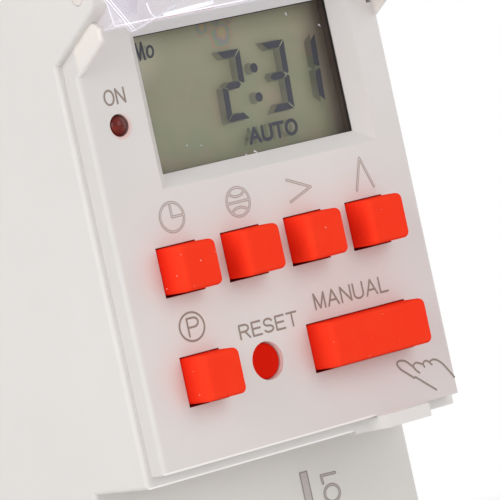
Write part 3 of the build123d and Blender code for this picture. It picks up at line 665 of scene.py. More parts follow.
lofted_keys = ("clock", "week", "hour", "minute", "program", "manual")
caps = [key_cap(f"key_{name}") for name in lofted_keys]
print("key caps:", len(caps), "with", len(caps[0].data.vertices), "points each")

# %% [markdown]
# The reset key is a small round button that sits deep in its hole, so that it is pressed
# with a pen and not by chance. A turned profile does it: a list of radii and depths is
# swept round the axis, with a shallow cup in the front to hold the pen's tip.

# %% Reset button
def turned(profile, centre_x, centre_z, steps=48):
    """Points and faces of a profile of (radius, y) turned about an axis along Y."""
    rings = []
    for radius, y in profile:
        ring = []
        for step in range(steps):
            angle = 2 * math.pi * step / steps
            ring.append((centre_x + radius * math.cos(angle), centre_z + radius * math.sin(angle)))
        rings.append((ring, y))
    return loft(rings)


reset_r = (reset_high.x - reset_low.x) / 2 - FLANGE
front, back = reset_low.y, reset_high.y
profile = [(reset_r + FLANGE, back), (reset_r + FLANGE, back - FLANGE_DEPTH)]
profile += [(reset_r, back - FLANGE_DEPTH), (reset_r, front + 0.2)]
profile += [(reset_r - 0.06, front + 0.06), (reset_r - 0.2, front)]
profile += [(reset_r * share, front + 0.05 * (1 - share ** 2)) for share in (*INNER_RINGS, 0.02)]
skin = turned(profile, reset_x, reset_z)
reset_button = piece("key_reset_button", *skin, key_red, "key_reset_body", "key_red")
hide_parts("key_reset")
print("reset button radius:", round(reset_r, 2), "mm")

# %% [markdown]
# The lamp is a small red diode with a domed nose. Unlit it is dark red and a little uneven
# in its depth, like a drop of syrup, and the studio is mirrored in it. The dome is turned
# finely, and a coat gives it the wet gloss.

# %% Lamp
def lamp_finish():
    finish = Finish("lamp_red")
    depth = cloud(finish, 0.7, detail=1)
    return finish.surface_is(
        Base_Color=mixed(finish, (depth - 0.4) * 2.5, tint(92, 14, 4), tint(128, 30, 12)),
        Roughness=0.10 + (cloud(finish, 0.3) - 0.5) * 0.06,
        Specular_IOR_Level=0.15,
        Coat_Weight=0.3,
        Coat_Roughness=0.03,
        Normal=bumped(finish, cloud(finish, 0.5), 0.01),
    )


lamp_red = lamp_finish()
low, high = box_mm("led_indicator")
lamp_x, lamp_z = (low.x + high.x) / 2, (low.z + high.z) / 2
LAMP_R, COLLAR_BACK, COLLAR_DEPTH, LEAD_OFF, LEAD = 0.98, -50.0, 0.6, 0.635, 0.5
collar_r, collar_front = (high.x - low.x) / 2, COLLAR_BACK - COLLAR_DEPTH
profile = [(0.02, COLLAR_BACK), (collar_r, COLLAR_BACK), (collar_r, collar_front), (LAMP_R, collar_front)]
for step in range(13):
    angle = math.radians(90 * step / 12)
    profile.append((max(0.02, LAMP_R * math.cos(angle)), low.y + LAMP_R * (1 - math.sin(angle))))
points, faces = turned(profile, lamp_x, lamp_z, 40)
for lead_z in (lamp_z - LEAD_OFF, lamp_z + LEAD_OFF):
    ring = rounded_outline(lamp_x, lead_z, LEAD, LEAD, 0.08, 2)
    more_points, more_faces = loft([(ring, high.y), (ring, COLLAR_BACK)])
    faces += [tuple(index + len(points) for index in face) for face in more_faces]
    points += more_points
lamp = piece("lamp_dome", points, faces, lamp_red, "base", "led_red")
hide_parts("led_indicator")
print("lamp at", round(lamp_x, 2), round(lamp_z, 2))

# %% [markdown]
# Letters, numbers and signs are printed in thin even strokes. A font would give filled
# shapes of its own weight, so each sign is drawn as its strokes, as an engraver would, and
# a ribbon of constant width follows them. Sharp corners part a stroke into two runs with
# round ends, which is how a printed line turns.

# %% Ribbons
def bow(centre_u, centre_v, reach_u, reach_v, start, end, steps):
    """Points of an arc, with angles in degrees."""
    arc = []
    for step in range(steps + 1):
        angle = math.radians(start + (end - start) * step / steps)
        arc.append((centre_u + reach_u * math.cos(angle), centre_v + reach_v * math.sin(angle)))
    return arc


CURVE_STEPS, SHARP_TURN = 5, math.radians(32)


def pen_curve(knots):
    """Points of a soft curve through a few knots, as a pen would draw it."""
    ends = [knots[0]] + list(knots) + [knots[-1]]
    curve = []
    for before, start, end, after in zip(ends, ends[1:], ends[2:], ends[3:]):
        for step in range(CURVE_STEPS):
            t = step / CURVE_STEPS
            curve.append(tuple(
                start[k] + t * (end[k] - before[k]) / 2
                + t * t * (before[k] - 2.5 * start[k] + 2 * end[k] - after[k] / 2)
                + t ** 3 * (1.5 * start[k] - before[k] / 2 - 1.5 * end[k] + after[k] / 2)
                for k in (0, 1)))
    return curve + [knots[-1]]


def runs(stroke):
    """Parts a stroke at its sharp corners."""
    parts, part = [], [Vector(stroke[0])]
    for before, here, after in zip(stroke, stroke[1:], stroke[2:]):
        part.append(Vector(here))
        turn = (Vector(here) - Vector(before)).angle(Vector(after) - Vector(here), 0)
        if turn > SHARP_TURN:
            parts.append(part)
            part = [Vector(here)]
    part.append(Vector(stroke[-1]))
    return parts + [part]


LAYERS, LAYER = 12, 0.0004


def ribbons(strokes, width, y, thickness):
    """Points and faces of flat ribbons along strokes of (x, z), on a surface that faces -Y."""
    points, faces = [], []
    for order, part in enumerate(part for stroke in strokes for part in runs(stroke)):
        lift = y - thickness - LAYER * (order % LAYERS)
        edge = []
        closed = (part[0] - part[-1]).length < 1e-6 and len(part) > 3
        for index, here in enumerate(part):
            before = part[index - 1] if index else (part[-2] if closed else None)
            after = part[index + 1] if index < len(part) - 1 else (part[1] if closed else None)
            ahead = ((after - here) if after else (here - before)).normalized()
            behind = ((here - before) if before else ahead).normalized()
            course = (ahead + behind).normalized()
            side = Vector((-course.y, course.x)) * width / 2
            edge.append((here + side, here - side))
        start = len(points)
        for left, right in edge:
            points += [(left.x, lift, left.y), (right.x, lift, right.y)]
        for index in range(len(edge) - 1):
            base = start + 2 * index
            faces.append((base, base + 1, base + 3, base + 2))
        if not closed:
            for end, inner in ((part[0], part[1]), (part[-1], part[-2])):
                out = end - inner
                angle = math.degrees(math.atan2(out.y, out.x))
                ring = bow(end.x, end.y, width / 2, width / 2, angle - 90, angle + 90, 8)
                start = len(points)
                points += [(u, lift, v) for u, v in ring]
                faces.append(tuple(range(start, start + len(ring))))
    return [Vector(point) * MM for point in points], faces


sample = ribbons([[(0, 0), (1, 0), (1, 1)]], 0.2, 0, 0.02)
print("a bent stroke:", len(sample[0]), "points,", len(sample[1]), "faces")

# %% [markdown]
# The alphabet holds only the letters and numbers that the device needs, each in a box one
# unit high. A word is set by its place, height and full width, as measured on the object,
# and the letters share the width between them.

# %% Letters and numbers
alphabet = {
    "O": (0.78, [bow(0.39, 0.5, 0.39, 0.5, 90, 450, 28)]),
    "N": (0.68, [[(0, 0), (0, 1), (0.68, 0), (0.68, 1)]]),
    "R": (0.64, [[(0, 0), (0, 1), (0.36, 1)] + bow(0.36, 0.75, 0.26, 0.25, 90, -90, 12) + [(0, 0.5)],
                 [(0.34, 0.5), (0.64, 0)]]),
    "E": (0.58, [[(0.58, 1), (0, 1), (0, 0), (0.58, 0)], [(0, 0.52), (0.52, 0.52)]]),
    "S": (0.60, [bow(0.30, 0.745, 0.28, 0.255, 20, 270, 16)
                 + bow(0.30, 0.255, 0.30, 0.235, 90, -160, 16)]),
    "T": (0.66, [[(0, 1), (0.66, 1)], [(0.33, 1), (0.33, 0)]]),
    "M": (0.70, [[(0, 0), (0, 1), (0.35, 0.02), (0.70, 1), (0.70, 0)]]),
    "A": (0.74, [[(0, 0), (0.37, 1), (0.74, 0)], [(0.13, 0.34), (0.61, 0.34)]]),
    "U": (0.66, [[(0, 1), (0, 0.32)] + bow(0.33, 0.32, 0.33, 0.32, 180, 360, 14) + [(0.66, 1)]]),
    "L": (0.54, [[(0, 1), (0, 0), (0.54, 0)]]),
    "P": (0.60, [[(0, 0), (0, 1), (0.34, 1)] + bow(0.34, 0.74, 0.26, 0.26, 90, -90, 12) + [(0, 0.48)]]),
    "1": (0.34, [[(0, 0.78), (0.30, 1), (0.30, 0)]]),
    "2": (0.60, [bow(0.30, 0.72, 0.28, 0.28, 165, -35, 14) + [(0.02, 0), (0.60, 0)]]),
    "3": (0.60, [bow(0.28, 0.75, 0.26, 0.25, 150, -90, 14), bow(0.28, 0.27, 0.30, 0.27, 90, -150, 14)]),
    "4": (0.62, [[(0.46, 0), (0.46, 1), (0, 0.30), (0.62, 0.30)]]),
    "5": (0.66, [[(0.62, 0.96), (0.03, 0.98), (0.05, 0.73)], bow(0.34, 0.335, 0.315, 0.28, 90, 450, 26)]),
}
LETTER_GAP = 0.24


def word(text, left, base, height, width=None):
    """Strokes of a word, from its lower left corner, stretched to its width if one is given."""
    natural = sum(alphabet[letter][0] for letter in text) + LETTER_GAP * (len(text) - 1)
    stretch = width / (natural * height) if width else 1.0
    strokes, pen = [], 0.0
    for letter in text:
        advance, drawing = alphabet[letter]
        for stroke in drawing:
            strokes.append([(left + (pen + u) * height * stretch, base + v * height) for u, v in stroke])
        pen += advance + LETTER_GAP
    return strokes


print("letters and numbers:", len(alphabet))

# %% [markdown]
# The signs over the keys are common ones: a clock face, a ball for the day of the week,
# an arrow for hours and one for minutes, a circled letter for the programme, and a
# pointing hand. They and the words sit on the face plate as a thin grey brown print. The
# four signs of the upper row are printed hollow, with a paler line inside each stroke.

# %% Print on the face
def ink_finish(name, colour, shade):
    finish = Finish(name)
    worn = cloud(finish, 0.35, detail=3)
    return finish.surface_is(
        Base_Color=mixed(finish, worn, shade, colour),
        Roughness=0.55 + (worn - 0.5) * 0.2,
        Normal=bumped(finish, worn, 0.003),
    )


def printed(name, strokes, width, y, thickness, ink, slot):
    """Print on the fixed base: ribbons along strokes, in one ink."""
    points, faces = ribbons(strokes, width, y, thickness)
    return piece(name, points, faces, ink, "base", slot, smooth=False)


face_ink = ink_finish("face_ink", tint(158, 143, 133), tint(138, 123, 113))
sign_ink = ink_finish("sign_ink", tint(174, 160, 153), tint(158, 143, 136))
core_ink = ink_finish("core_ink", tint(216, 207, 204), tint(204, 194, 190))
print("inks:", face_ink.name, sign_ink.name, core_ink.name)

# %% [markdown]
# The signs are measured on the object, in millimetres on the plate. Circles are arcs and
# the rest is straight strokes, so each sign takes a line or two.

# %% Signs over the keys
clock_x, clock_z, clock_r = -10.49, 0.14, 1.30
week_x, week_z, week_r = -3.02, 0.10, 1.28
signs = [bow(clock_x, clock_z, clock_r, clock_r, 90, 450, 40)]
signs += [[(clock_x, clock_z + clock_r), (clock_x, clock_z), (clock_x + clock_r, clock_z)]]
signs += [bow(week_x, week_z, week_r, week_r, 90, 450, 40)]
signs += [[(week_x - week_r, week_z), (week_x + week_r, week_z)]]
signs += [bow(week_x, week_z + 1.07, 0.91, 0.58, 190, 350, 14)]
signs += [bow(week_x, week_z - 1.07, 0.91, 0.58, 170, 10, 14)]
signs += [[(2.80, 1.00), (5.33, -0.08), (2.76, -1.00)]]
signs += [[(10.47, -1.37), (11.50, 1.40), (12.50, -1.37)]]
programme = [bow(-10.91, -9.56, 1.36, 1.26, 90, 450, 40)]
programme += word("P", -11.35, -10.36, 1.56, 1.20)
print("signs:", len(signs) + len(programme), "strokes")

# %% [markdown]
# The hand is the only freehand drawing on the device. Its finger and knuckles are soft
# curves through a few knots, which is how a pen would draw them.

# %% The pointing hand and the words
hand = [pen_curve([(16.99, -20.01), (16.41, -19.16), (15.97, -18.57), (15.53, -18.18),
                   (15.10, -17.97), (14.75, -17.98), (14.47, -18.10)])]
hand += [[(14.47, -18.10), (14.71, -18.38)]]
hand += [pen_curve([(14.47, -18.10), (14.18, -17.90), (13.88, -17.93), (13.67, -18.13)])]
hand += [[(13.67, -18.13), (13.81, -18.40)]]
hand += [pen_curve([(13.67, -18.13), (13.30, -17.95), (12.97, -17.83), (12.69, -17.89), (12.50, -18.08)])]
hand += [pen_curve([(13.10, -18.79), (12.81, -18.54), (12.50, -18.12), (12.12, -17.75),
                    (11.75, -17.44), (11.30, -17.29), (10.92, -17.29), (10.73, -17.48),
                    (10.81, -17.75), (11.10, -18.12)])]
hand += [[(11.10, -18.12), (12.25, -19.02), (12.33, -19.12), (12.51, -19.06), (14.60, -20.69)]]
words = word("ON", -14.88, 10.82, 1.26, 2.16)
words += word("RESET", -5.92, -11.74, 1.19, 6.55)
words += word("MANUAL", 2.98, -10.84, 1.36, 8.55)
INK_LIFT, CORE_LIFT = 0.012, 0.019
printed("face_print", programme + hand + words, 0.19, PLATE_FRONT, INK_LIFT, face_ink, "face")
printed("face_signs", signs, 0.25, PLATE_FRONT, INK_LIFT, sign_ink, "face")
printed("face_sign_cores", signs, 0.11, PLATE_FRONT, CORE_LIFT, core_ink, "face")
print("face print:", len(programme + hand + words), "strokes")

# %% [markdown]
# The shoulders carry plain numbers, one for each terminal, and a bar beside the last one.
# They are drawn the same way, and the bar has a paler filling, a flat sheet under its line.

# %% Print on the shoulders
def sheets(outlines, y):
    """Points and faces of flat sheets with these outlines."""
    points = [Vector((x, y, z)) * MM for outline in outlines for x, z in outline]
    faces, start = [], 0
    for outline in outlines:
        faces.append(tuple(range(start, start + len(outline))))
        start += len(outline)
    return points, faces


shoulder_ink = ink_finish("shoulder_ink", tint(168, 157, 151), tint(148, 137, 131))
bar_fill = ink_finish("bar_fill", tint(200, 192, 188), tint(188, 180, 176))
NUMBER_H, NUMBER_W, ONE_HALF, UPPER_BASE = 2.80, 1.86, 0.45, 26.35
numbers = []
for label, centre, base in (("3", -11.0, -32.6), ("4", 0.0, -32.6), ("5", 8.0, -29.15)):
    numbers += word(label, centre - NUMBER_W / 2, base, NUMBER_H, NUMBER_W)
numbers += word("1", -8.0 - ONE_HALF, UPPER_BASE, NUMBER_H)
numbers += word("2", 8.0 - NUMBER_W / 2, UPPER_BASE, NUMBER_H)
left, right, top, bottom = 4.80, 5.64, -25.62, -31.4
bar_line = [(left, bottom), (left, top), (right, top), (right, bottom), (left, bottom)]
fill = [(left, top), (right, top), (right, bottom), (left, bottom)]
printed("shoulder_numbers", numbers, 0.30, SHOULDER, INK_LIFT, shoulder_ink, "housing")
printed("shoulder_number_cores", numbers, 0.09, SHOULDER, 0.020, bar_fill, "housing")
printed("shoulder_bars", [bar_line], 0.14, SHOULDER, 0.014, shoulder_ink, "housing")
piece("shoulder_fills", *sheets([fill], SHOULDER - 0.006), bar_fill, "base", "housing", smooth=False)
print("shoulder print:", len(numbers), "strokes")

# %% [markdown]
# The display is a sandwich: a front glass whose figures are dark where the crystal turns
# the light, and nearly a millimetre behind it a dull silver green reflector. The gap is
# what makes it look real, because each figure casts a soft grey shadow on the reflector
# straight behind it. So the figures are thin sheets near the front, their shadows are painted
# on the reflector as fainter dark sheets, and the CAD glass block becomes a clear coat that
# only mirrors a little. At its right end the reflector runs out into the brown of the frame,
# painted paler there.

# %% Layers of the display
INK_DEPTH, REFLECTOR_DEPTH, REFLECTOR_END = 0.35, 1.20, 12.3
glass_low, glass_high = box_mm("lcd_glass")
glass_front = glass_low.y
reflector_y, ink_y = glass_front + REFLECTOR_DEPTH, glass_front + INK_DEPTH
print("glass front, figures, reflector:", *(round(y, 2) for y in (glass_front, ink_y, reflector_y)))

# %% [markdown]
# The reflector is a dull foil: silver green with faint clouds of other hues and some thumb
# marks in rainbow colours. Its top and its near upper left corner are painted lighter, painted
# light where the window's wall shades them. Each of these is one more colour mixed over the
# base. The glass before it is almost clear, and only mirrors a little.

# %% Reflector and glass
def oily_spot(finish, base, x, z, reach):
    """A faint spot in rainbow colours, as a thumb leaves on a display."""
    ring = distance(finish, x, reflector_y, z) / reach + (cloud(finish, 0.9, detail=1) - 0.5) * 0.9
    stops = [(0.0, tint(186, 176, 104)), (0.3, tint(190, 138, 112)), (0.48, tint(122, 126, 160)),
             (0.66, tint(98, 160, 118)), (0.82, tint(196, 136, 126)), (1.0, tint(157, 157, 133))]
    colour = finish.add("ShaderNodeValToRGB", {"stops": stops}, {0: ring})
    return mixed(finish, (ring < 1.0) * 0.45, base, colour)


def reflector_finish():
    finish = Finish("reflector")
    fine = cloud(finish, 0.16)
    base = layered(
        finish,
        mixed(finish, cloud(finish, 6), tint(145, 146, 119), tint(152, 152, 126)),
        ((cloud(finish, 3.2, detail=1) - 0.50) * 1.6, tint(176, 148, 138)),
        ((cloud(finish, 2.2, detail=1) - 0.52) * 1.6, tint(126, 144, 116)),
        ((fine - 0.5) * 0.4, tint(176, 178, 160)),
        # painted light: the top is lighter where the window's wall shades it
        (rising(finish, along(finish, "Z"), 10.0, 16.6) * 0.50, tint(182, 181, 154)),
    )
    for spot in ((1.98, 15.0, 1.45), (1.42, 16.2, 0.8), (3.1, 16.2, 0.7), (-0.1, 15.9, 0.9)):
        base = oily_spot(finish, base, *spot)
    # painted light in the near upper left corner
    painted_light_corner = falling(finish, distance(finish, -9.4, reflector_y, 16.2), 0.5, 5.6)
    # the brown of the frame at the right end, painted paler against the shade of the window's wall
    beyond = rising(finish, along(finish, "X"), REFLECTOR_END - 0.9, REFLECTOR_END + 0.9)
    return finish.surface_is(
        Base_Color=layered(finish, base, (painted_light_corner * 0.95, tint(222, 218, 194)),
                           (beyond, tint(180, 168, 152))),
        Roughness=0.5 + (fine - 0.5) * 0.2,
        Normal=bumped(finish, fine, 0.004),
    )


def glass_finish():
    finish = Finish("display_glass")
    edge_on = finish.add("ShaderNodeLayerWeight", inputs={"Blend": 0.5}, output="Facing")
    haze = cloud(finish, 8)
    return finish.surface_is(
        Base_Color=mixed(finish, haze, tint(190, 190, 190), tint(214, 214, 214)),
        Roughness=0.22 + (haze - 0.5) * 0.1,
        Alpha=edge_on ** 5 * 0.5 + haze * 0.03 + specks(finish, 3.1, 0.07, 0.05) * 0.5,
    )


reflector_look = reflector_finish()
wear(glass_finish(), "lcd_glass")
print("reflector:", len(reflector_look.node_tree.nodes), "nodes")

# %% [markdown]
# A lit bar is dark because the crystal turns the light that passes through it, and it is
# no thing that casts a shadow. So its finish lets shadow rays by, and its shadow is painted
# on the reflector instead.

# %% Ink of the display
def lets_light_by(finish):
    """The finish is dark to the eye, but throws no shadow of its own."""
    shadow = finish.add("ShaderNodeLightPath", output="Is Shadow Ray")
    clear = finish.add("ShaderNodeBsdfTransparent", inputs={"Color": WHITE})
    return finish.shows(shadow, clear)


def figure_finish():
    finish = Finish("figure_ink")
    drift = cloud(finish, 1.6)
    finish.surface_is(
        Base_Color=mixed(finish, drift, tint(48, 50, 61), tint(56, 57, 68)),
        Roughness=0.45 + (drift - 0.5) * 0.2,
    )
    return lets_light_by(finish)


# A painted shadow: a dark see-through sheet on the reflector that lets shadow rays by.
def painted_shadow_finish(name, strength):
    finish = Finish(name)
    drift = cloud(finish, 1.2)
    finish.surface_is(
        Base_Color=mixed(finish, drift, tint(72, 77, 88), tint(82, 85, 94)),
        Roughness=0.7,
        Alpha=strength * (0.85 + drift * 0.3),
    )
    return lets_light_by(finish)


figure_ink = figure_finish()
figure_painted_shadow = painted_shadow_finish("figure_painted_shadow", 0.25)
painted_shadow_rim = painted_shadow_finish("painted_shadow_rim", 0.13)
word_painted_shadow = painted_shadow_finish("word_painted_shadow", 0.17)
print("display inks:", figure_ink.name, figure_painted_shadow.name, painted_shadow_rim.name, word_painted_shadow.name)

# %% [markdown]
# The reflector sheet is not quite flat: it is dished by a few hundredths of a millimetre,
# as a glued foil is, so it takes a fine grid and not one face.

# %% Reflector sheet
MARGIN, DISH, GRID_U, GRID_V = 0.3, 0.03, 24, 14
left, bottom = glass_low.x + MARGIN, glass_low.z + MARGIN
width, height = glass_high.x - MARGIN - left, glass_high.z - MARGIN - bottom
points, faces = [], []
for row in range(GRID_V + 1):
    for column in range(GRID_U + 1):
        u, v = column / GRID_U, row / GRID_V
        dish = DISH * math.sin(math.pi * u) * math.sin(math.pi * v)
        points.append(Vector((left + width * u, reflector_y + dish, bottom + height * v)) * MM)
        if row < GRID_V and column < GRID_U:
            corner = row * (GRID_U + 1) + column
            faces.append((corner, corner + 1, corner + GRID_U + 2, corner + GRID_U + 1))
piece("display_reflector", points, faces, reflector_look, "base", "lcd")
print("reflector:", round(width, 1), "by", round(height, 1), "mm")

# %% [markdown]
# Figures are built from seven bars with pointed ends and hairline gaps, leaning a little.
# One function gives the corners of the bars in an upright box, all but the upper left one,
# which no figure of this time lights. The time is spelled with them and two round dots.

# %% Figures of the display
FIGURE_W, FIGURE_H, BAR, HAIR, LEAN = 2.62, 6.30, 0.63, 0.085, 0.062


def figure_bars():
    w, h, t, g, m = FIGURE_W, FIGURE_H, BAR, HAIR, FIGURE_H / 2
    upper_right = [(w, h - g), (w, m + 0.17), (w - 0.18, m + 0.05), (w - t, m + 0.33), (w - t, h - t - g)]
    lower_right = [(x, h - z) for x, z in reversed(upper_right)]
    return {
        "top": [(g, h), (w - g, h), (w - t - g, h - t), (t + g, h - t)],
        "middle": [(0.42, m), (0.42 + t * 0.55, m + t / 2), (w - 0.42 - t * 0.55, m + t / 2),
                   (w - 0.42, m), (w - 0.42 - t * 0.55, m - t / 2), (0.42 + t * 0.55, m - t / 2)],
        "bottom": [(t + g, t), (w - t - g, t), (w - g, 0), (g, 0)],
        "upper_right": upper_right,
        "lower_right": lower_right,
        "lower_left": [(w - x, z) for x, z in reversed(lower_right)],
    }


lit = {
    "2": ("top", "upper_right", "middle", "lower_left", "bottom"),
    "3": ("top", "upper_right", "middle", "lower_right", "bottom"),
    "1": ("upper_right", "lower_right"),
}
FIGURE_BASE, DOTS, DOT_U, DOT_V = 7.06, ((4.12, 11.37), (3.98, 8.72)), 0.42, 0.44
bars, shapes = figure_bars(), []
for figure, right_edge in (("2", 2.74), ("3", 7.91), ("1", 11.57)):
    for name in lit[figure]:
        shapes.append([(right_edge - FIGURE_W + x + (z - FIGURE_H / 2) * LEAN, FIGURE_BASE + z)
                       for x, z in bars[name]])
shapes += [bow(x, z, DOT_U, DOT_V, 0, 345, 23) for x, z in DOTS]
piece("display_figures", *sheets(shapes, ink_y), figure_ink, "base", "lcd", smooth=False)
print("bars and dots:", len(shapes))

# %% [markdown]
# The shadow of a figure on the reflector is painted as it falls in a broad soft light:
# darker in the core and faint at the rim. So each bar is painted once a little smaller as a
# dark sheet, and a rim of a fainter finish is laid round it.

# %% Painted shadows on the reflector
def grown(outline, by):
    """The outline with each corner moved away from its middle."""
    middle_x = sum(x for x, z in outline) / len(outline)
    middle_z = sum(z for x, z in outline) / len(outline)
    return [(x + math.copysign(by, x - middle_x), z + math.copysign(by, z - middle_z)) for x, z in outline]


PAINTED_SHADOW_SOFT, PAINTED_SHADOW_GAP = 0.10, 0.05
painted_shadow_y = reflector_y - PAINTED_SHADOW_GAP
cores = [grown(shape, -PAINTED_SHADOW_SOFT) for shape in shapes]
rims = [grown(shape, PAINTED_SHADOW_SOFT) for shape in shapes]
piece("display_painted_shadows", *sheets(cores, painted_shadow_y), figure_painted_shadow, "base", "lcd", smooth=False)
points, faces = [], []
for core, rim in zip(cores, rims):
    faces += band(len(points), len(points) + len(core), len(core))
    points += [Vector((x, painted_shadow_y, z)) * MM for x, z in core + rim]
piece("display_painted_shadow_rims", points, faces, painted_shadow_rim, "base", "lcd", smooth=False)
print("twins:", len(cores), "sheets with", len(faces), "rim faces")

# %% [markdown]
# The word under the figures and the day mark at the upper left are part of the same glass.
# They have their own electrodes, which lean as the figures do, and a painted shadow of their own.

# %% Words of the display
def leaning(strokes, base, lean):
    """Strokes that lean to the right above their base."""
    return [[(u + (v - base) * lean, v) for u, v in stroke] for stroke in strokes]


WORD_BASE, DAY_LEAN, PAINTED_SHADOW_LIFT = 4.84, 0.12, 0.04
display_words = leaning(word("AUTO", 1.98, WORD_BASE, 1.24, 5.42), WORD_BASE, LEAN)
day_marks = [[(-8.62, 14.14), (-8.38, 15.62), (-8.10, 14.18), (-7.70, 15.60), (-7.58, 14.14)]]
day_marks += leaning([bow(-6.88, 14.69, 0.345, 0.475, 90, 450, 28)], 14.69, DAY_LEAN)
both = display_words + day_marks
printed("display_mode", display_words, 0.33, ink_y + INK_LIFT, INK_LIFT, figure_ink, "lcd")
printed("display_day", day_marks, 0.24, ink_y + INK_LIFT, INK_LIFT, figure_ink, "lcd")
printed("display_word_painted_shadows", both, 0.34, reflector_y - PAINTED_SHADOW_LIFT, INK_LIFT, word_painted_shadow, "lcd")
print("display words:", len(both), "strokes")

# %% [markdown]
# A thin dark lining fills the window between the plate and the glass. It is painted shade
# for that gap: it can't be seen from straight ahead, but from the side it is brown in its
# depth, and its black lip draws the dark line round the display.

# %% Shade lining of the window
def shade_lining_finish():
    finish = Finish("shade_lining")
    lump = cloud(finish, 1.4, detail=3)
    # painted shade: brown in the depth of the gap, and a black lip at the front
    brown = mixed(finish, lump, tint(84, 71, 65), tint(74, 62, 57))
    return finish.surface_is(
        Base_Color=mixed(finish, rising(finish, along(finish, "Y"), -52.0, -52.3), brown, tint(30, 24, 22)),
        Roughness=0.6 + (lump - 0.5) * 0.2,
        Normal=bumped(finish, lump, 0.004),
    )


LINING, SILL, PLAY, LINING_FRONT = 0.07, 0.02, 0.01, -52.40
lining_back = glass_front - 0.02
left, right, bottom, top = -9.43 + PLAY, 12.56 - PLAY, 3.92 + PLAY, 16.24 - PLAY
outer = [(left, bottom), (right, bottom), (right, top), (left, top)]
left, right, bottom, top = left + LINING, right - LINING, bottom + SILL, top - LINING
inner = [(left, bottom), (right, bottom), (right, top), (left, top)]
rings = ((outer, LINING_FRONT), (inner, LINING_FRONT), (inner, lining_back), (outer, lining_back))
points = [Vector((x, y, z)) * MM for outline, y in rings for x, z in outline]
faces = [face for ring in range(4) for face in band(4 * ring, 4 * ((ring + 1) % 4), 4)]
piece("window_shade_lining", points, faces, shade_lining_finish(), "base", "inner_frame", smooth=False)
print("gasket:", len(faces), "faces")

# %% [markdown]
# The hinged cover is clear polystyrene. Its sheets almost vanish: they only whiten where
# they are seen edge on, with a breath of lilac, and a faint lilac glow is painted into them.
# What shows are its moulded edges, which gather light and turn white, so a fine glowing rod,
# a painted highlight, follows each edge of the CAD solid at which its surface turns sharply:
# a bright one along the inner rims and at the feet of the arms, a faint one elsewhere, on a
# thin see-through sheet. Away from the hinge, sheet and faint rods are painted a little grey
# and glow less, painted shade as clear plastic shows before something white.

# %% Finishes of the clear cover
HINGE_Y, HINGE_Z = -57.3, 20.4
NEAR_HINGE, FAR_FROM_HINGE = (5.0, 9.0), (13.0, 20.0)
MILKY, BRIGHT = tint(240, 238, 252), tint(254, 253, 255)


def clear_finish():
    finish = Finish("clear_styrene")
    edge_on = finish.add("ShaderNodeLayerWeight", inputs={"Blend": 0.5}, output="Facing")
    haze = cloud(finish, 9)
    from_hinge = from_line(finish, HINGE_Y, HINGE_Z)
    clear = rising(finish, from_hinge, *NEAR_HINGE)
    away = rising(finish, from_hinge, *FAR_FROM_HINGE)
    lilac = mixed(finish, haze, tint(236, 228, 248), tint(246, 242, 253))
    return finish.surface_is(
        # painted shade: grey away from the hinge
        Base_Color=mixed(finish, away, lilac, tint(186, 184, 198)),
        Roughness=0.07 + haze * 0.05,
        Alpha=edge_on ** 4 * 0.5 + (haze * 0.07 + 0.04) * (1 - clear * 0.8) + away * 0.07,
        # painted glow: lilac near the hinge, dark away from it
        Emission_Color=mixed(finish, away, lilac, tint(70, 68, 80)),
        Emission_Strength=0.45,
        Normal=bumped(finish, cloud(finish, 0.5, stretch=(1, 8, 1)), 0.001),
    )


def painted_glow_finish(name, cover, glow, low=MILKY, high=BRIGHT, greys=False):
    """A glowing rod, a painted highlight: how much it covers and glows, between two colours."""
    finish = Finish(name)
    drift = cloud(finish, 2.2, stretch=(1, 1, 3))
    body = shine = mixed(finish, drift, low, high)
    cover = cover * (0.7 + drift * 0.6)
    # away from the hinge a rod is painted grey and glows less, painted shade
    if greys:
        away = rising(finish, from_line(finish, HINGE_Y, HINGE_Z), *FAR_FROM_HINGE)
        body = mixed(finish, away, body, tint(150, 148, 166))
        shine = mixed(finish, away, shine, tint(30, 30, 38))
        cover = cover + away * 0.35
    return finish.surface_is(
        Base_Color=body,
        Roughness=0.25,
        Alpha=cover,
        Emission_Color=shine,
        Emission_Strength=glow,
    )


wear(clear_finish(), "clear_cover")
bright_highlight = painted_glow_finish("bright_edge", 0.95, 0.28)
faint_highlight = painted_glow_finish("faint_edge", 0.30, 0.14, greys=True)
soft_highlight = painted_glow_finish("soft_edge", 0.45, 0.15)
pink_highlight = painted_glow_finish("pink_highlight_edge", 0.7, 0.12, tint(206, 166, 160), tint(226, 194, 188))
print("beads:", bright_highlight.name, faint_highlight.name, soft_highlight.name, pink_highlight.name)

# %% [markdown]
# The highlight rods have to follow the real edges, so these are found in the CAD solid: two
# faces that meet at more than a set angle share a sharp edge. A rod is a ring of points
# carried along a path, and it serves the painted highlights, the glints and the lint alike.

# %% Edges and rods
def sharp_edges(node, turn, shortest):
    """Edges of a CAD node at which its surface turns by more than this angle."""
    mesh = nodes[node].data
    sides = {}
    for face in mesh.polygons:
        corners = [tuple(round(value, 7) for value in mesh.vertices[index].co) for index in face.vertices]
        for start, end in zip(corners, corners[1:] + corners[:1]):
            sides.setdefault(frozenset((start, end)), []).append(face.normal.copy())
    sharp = []
    for pair, normals in sides.items():
        if len(pair) == 2 and len(normals) == 2 and normals[0].angle(normals[1], 0) > math.radians(turn):
            start, end = sorted(pair)
            if (Vector(end) - Vector(start)).length > shortest * MM:
                sharp.append((Vector(start) / MM, Vector(end) / MM))
    return sharp


ROD_SIDES = 8


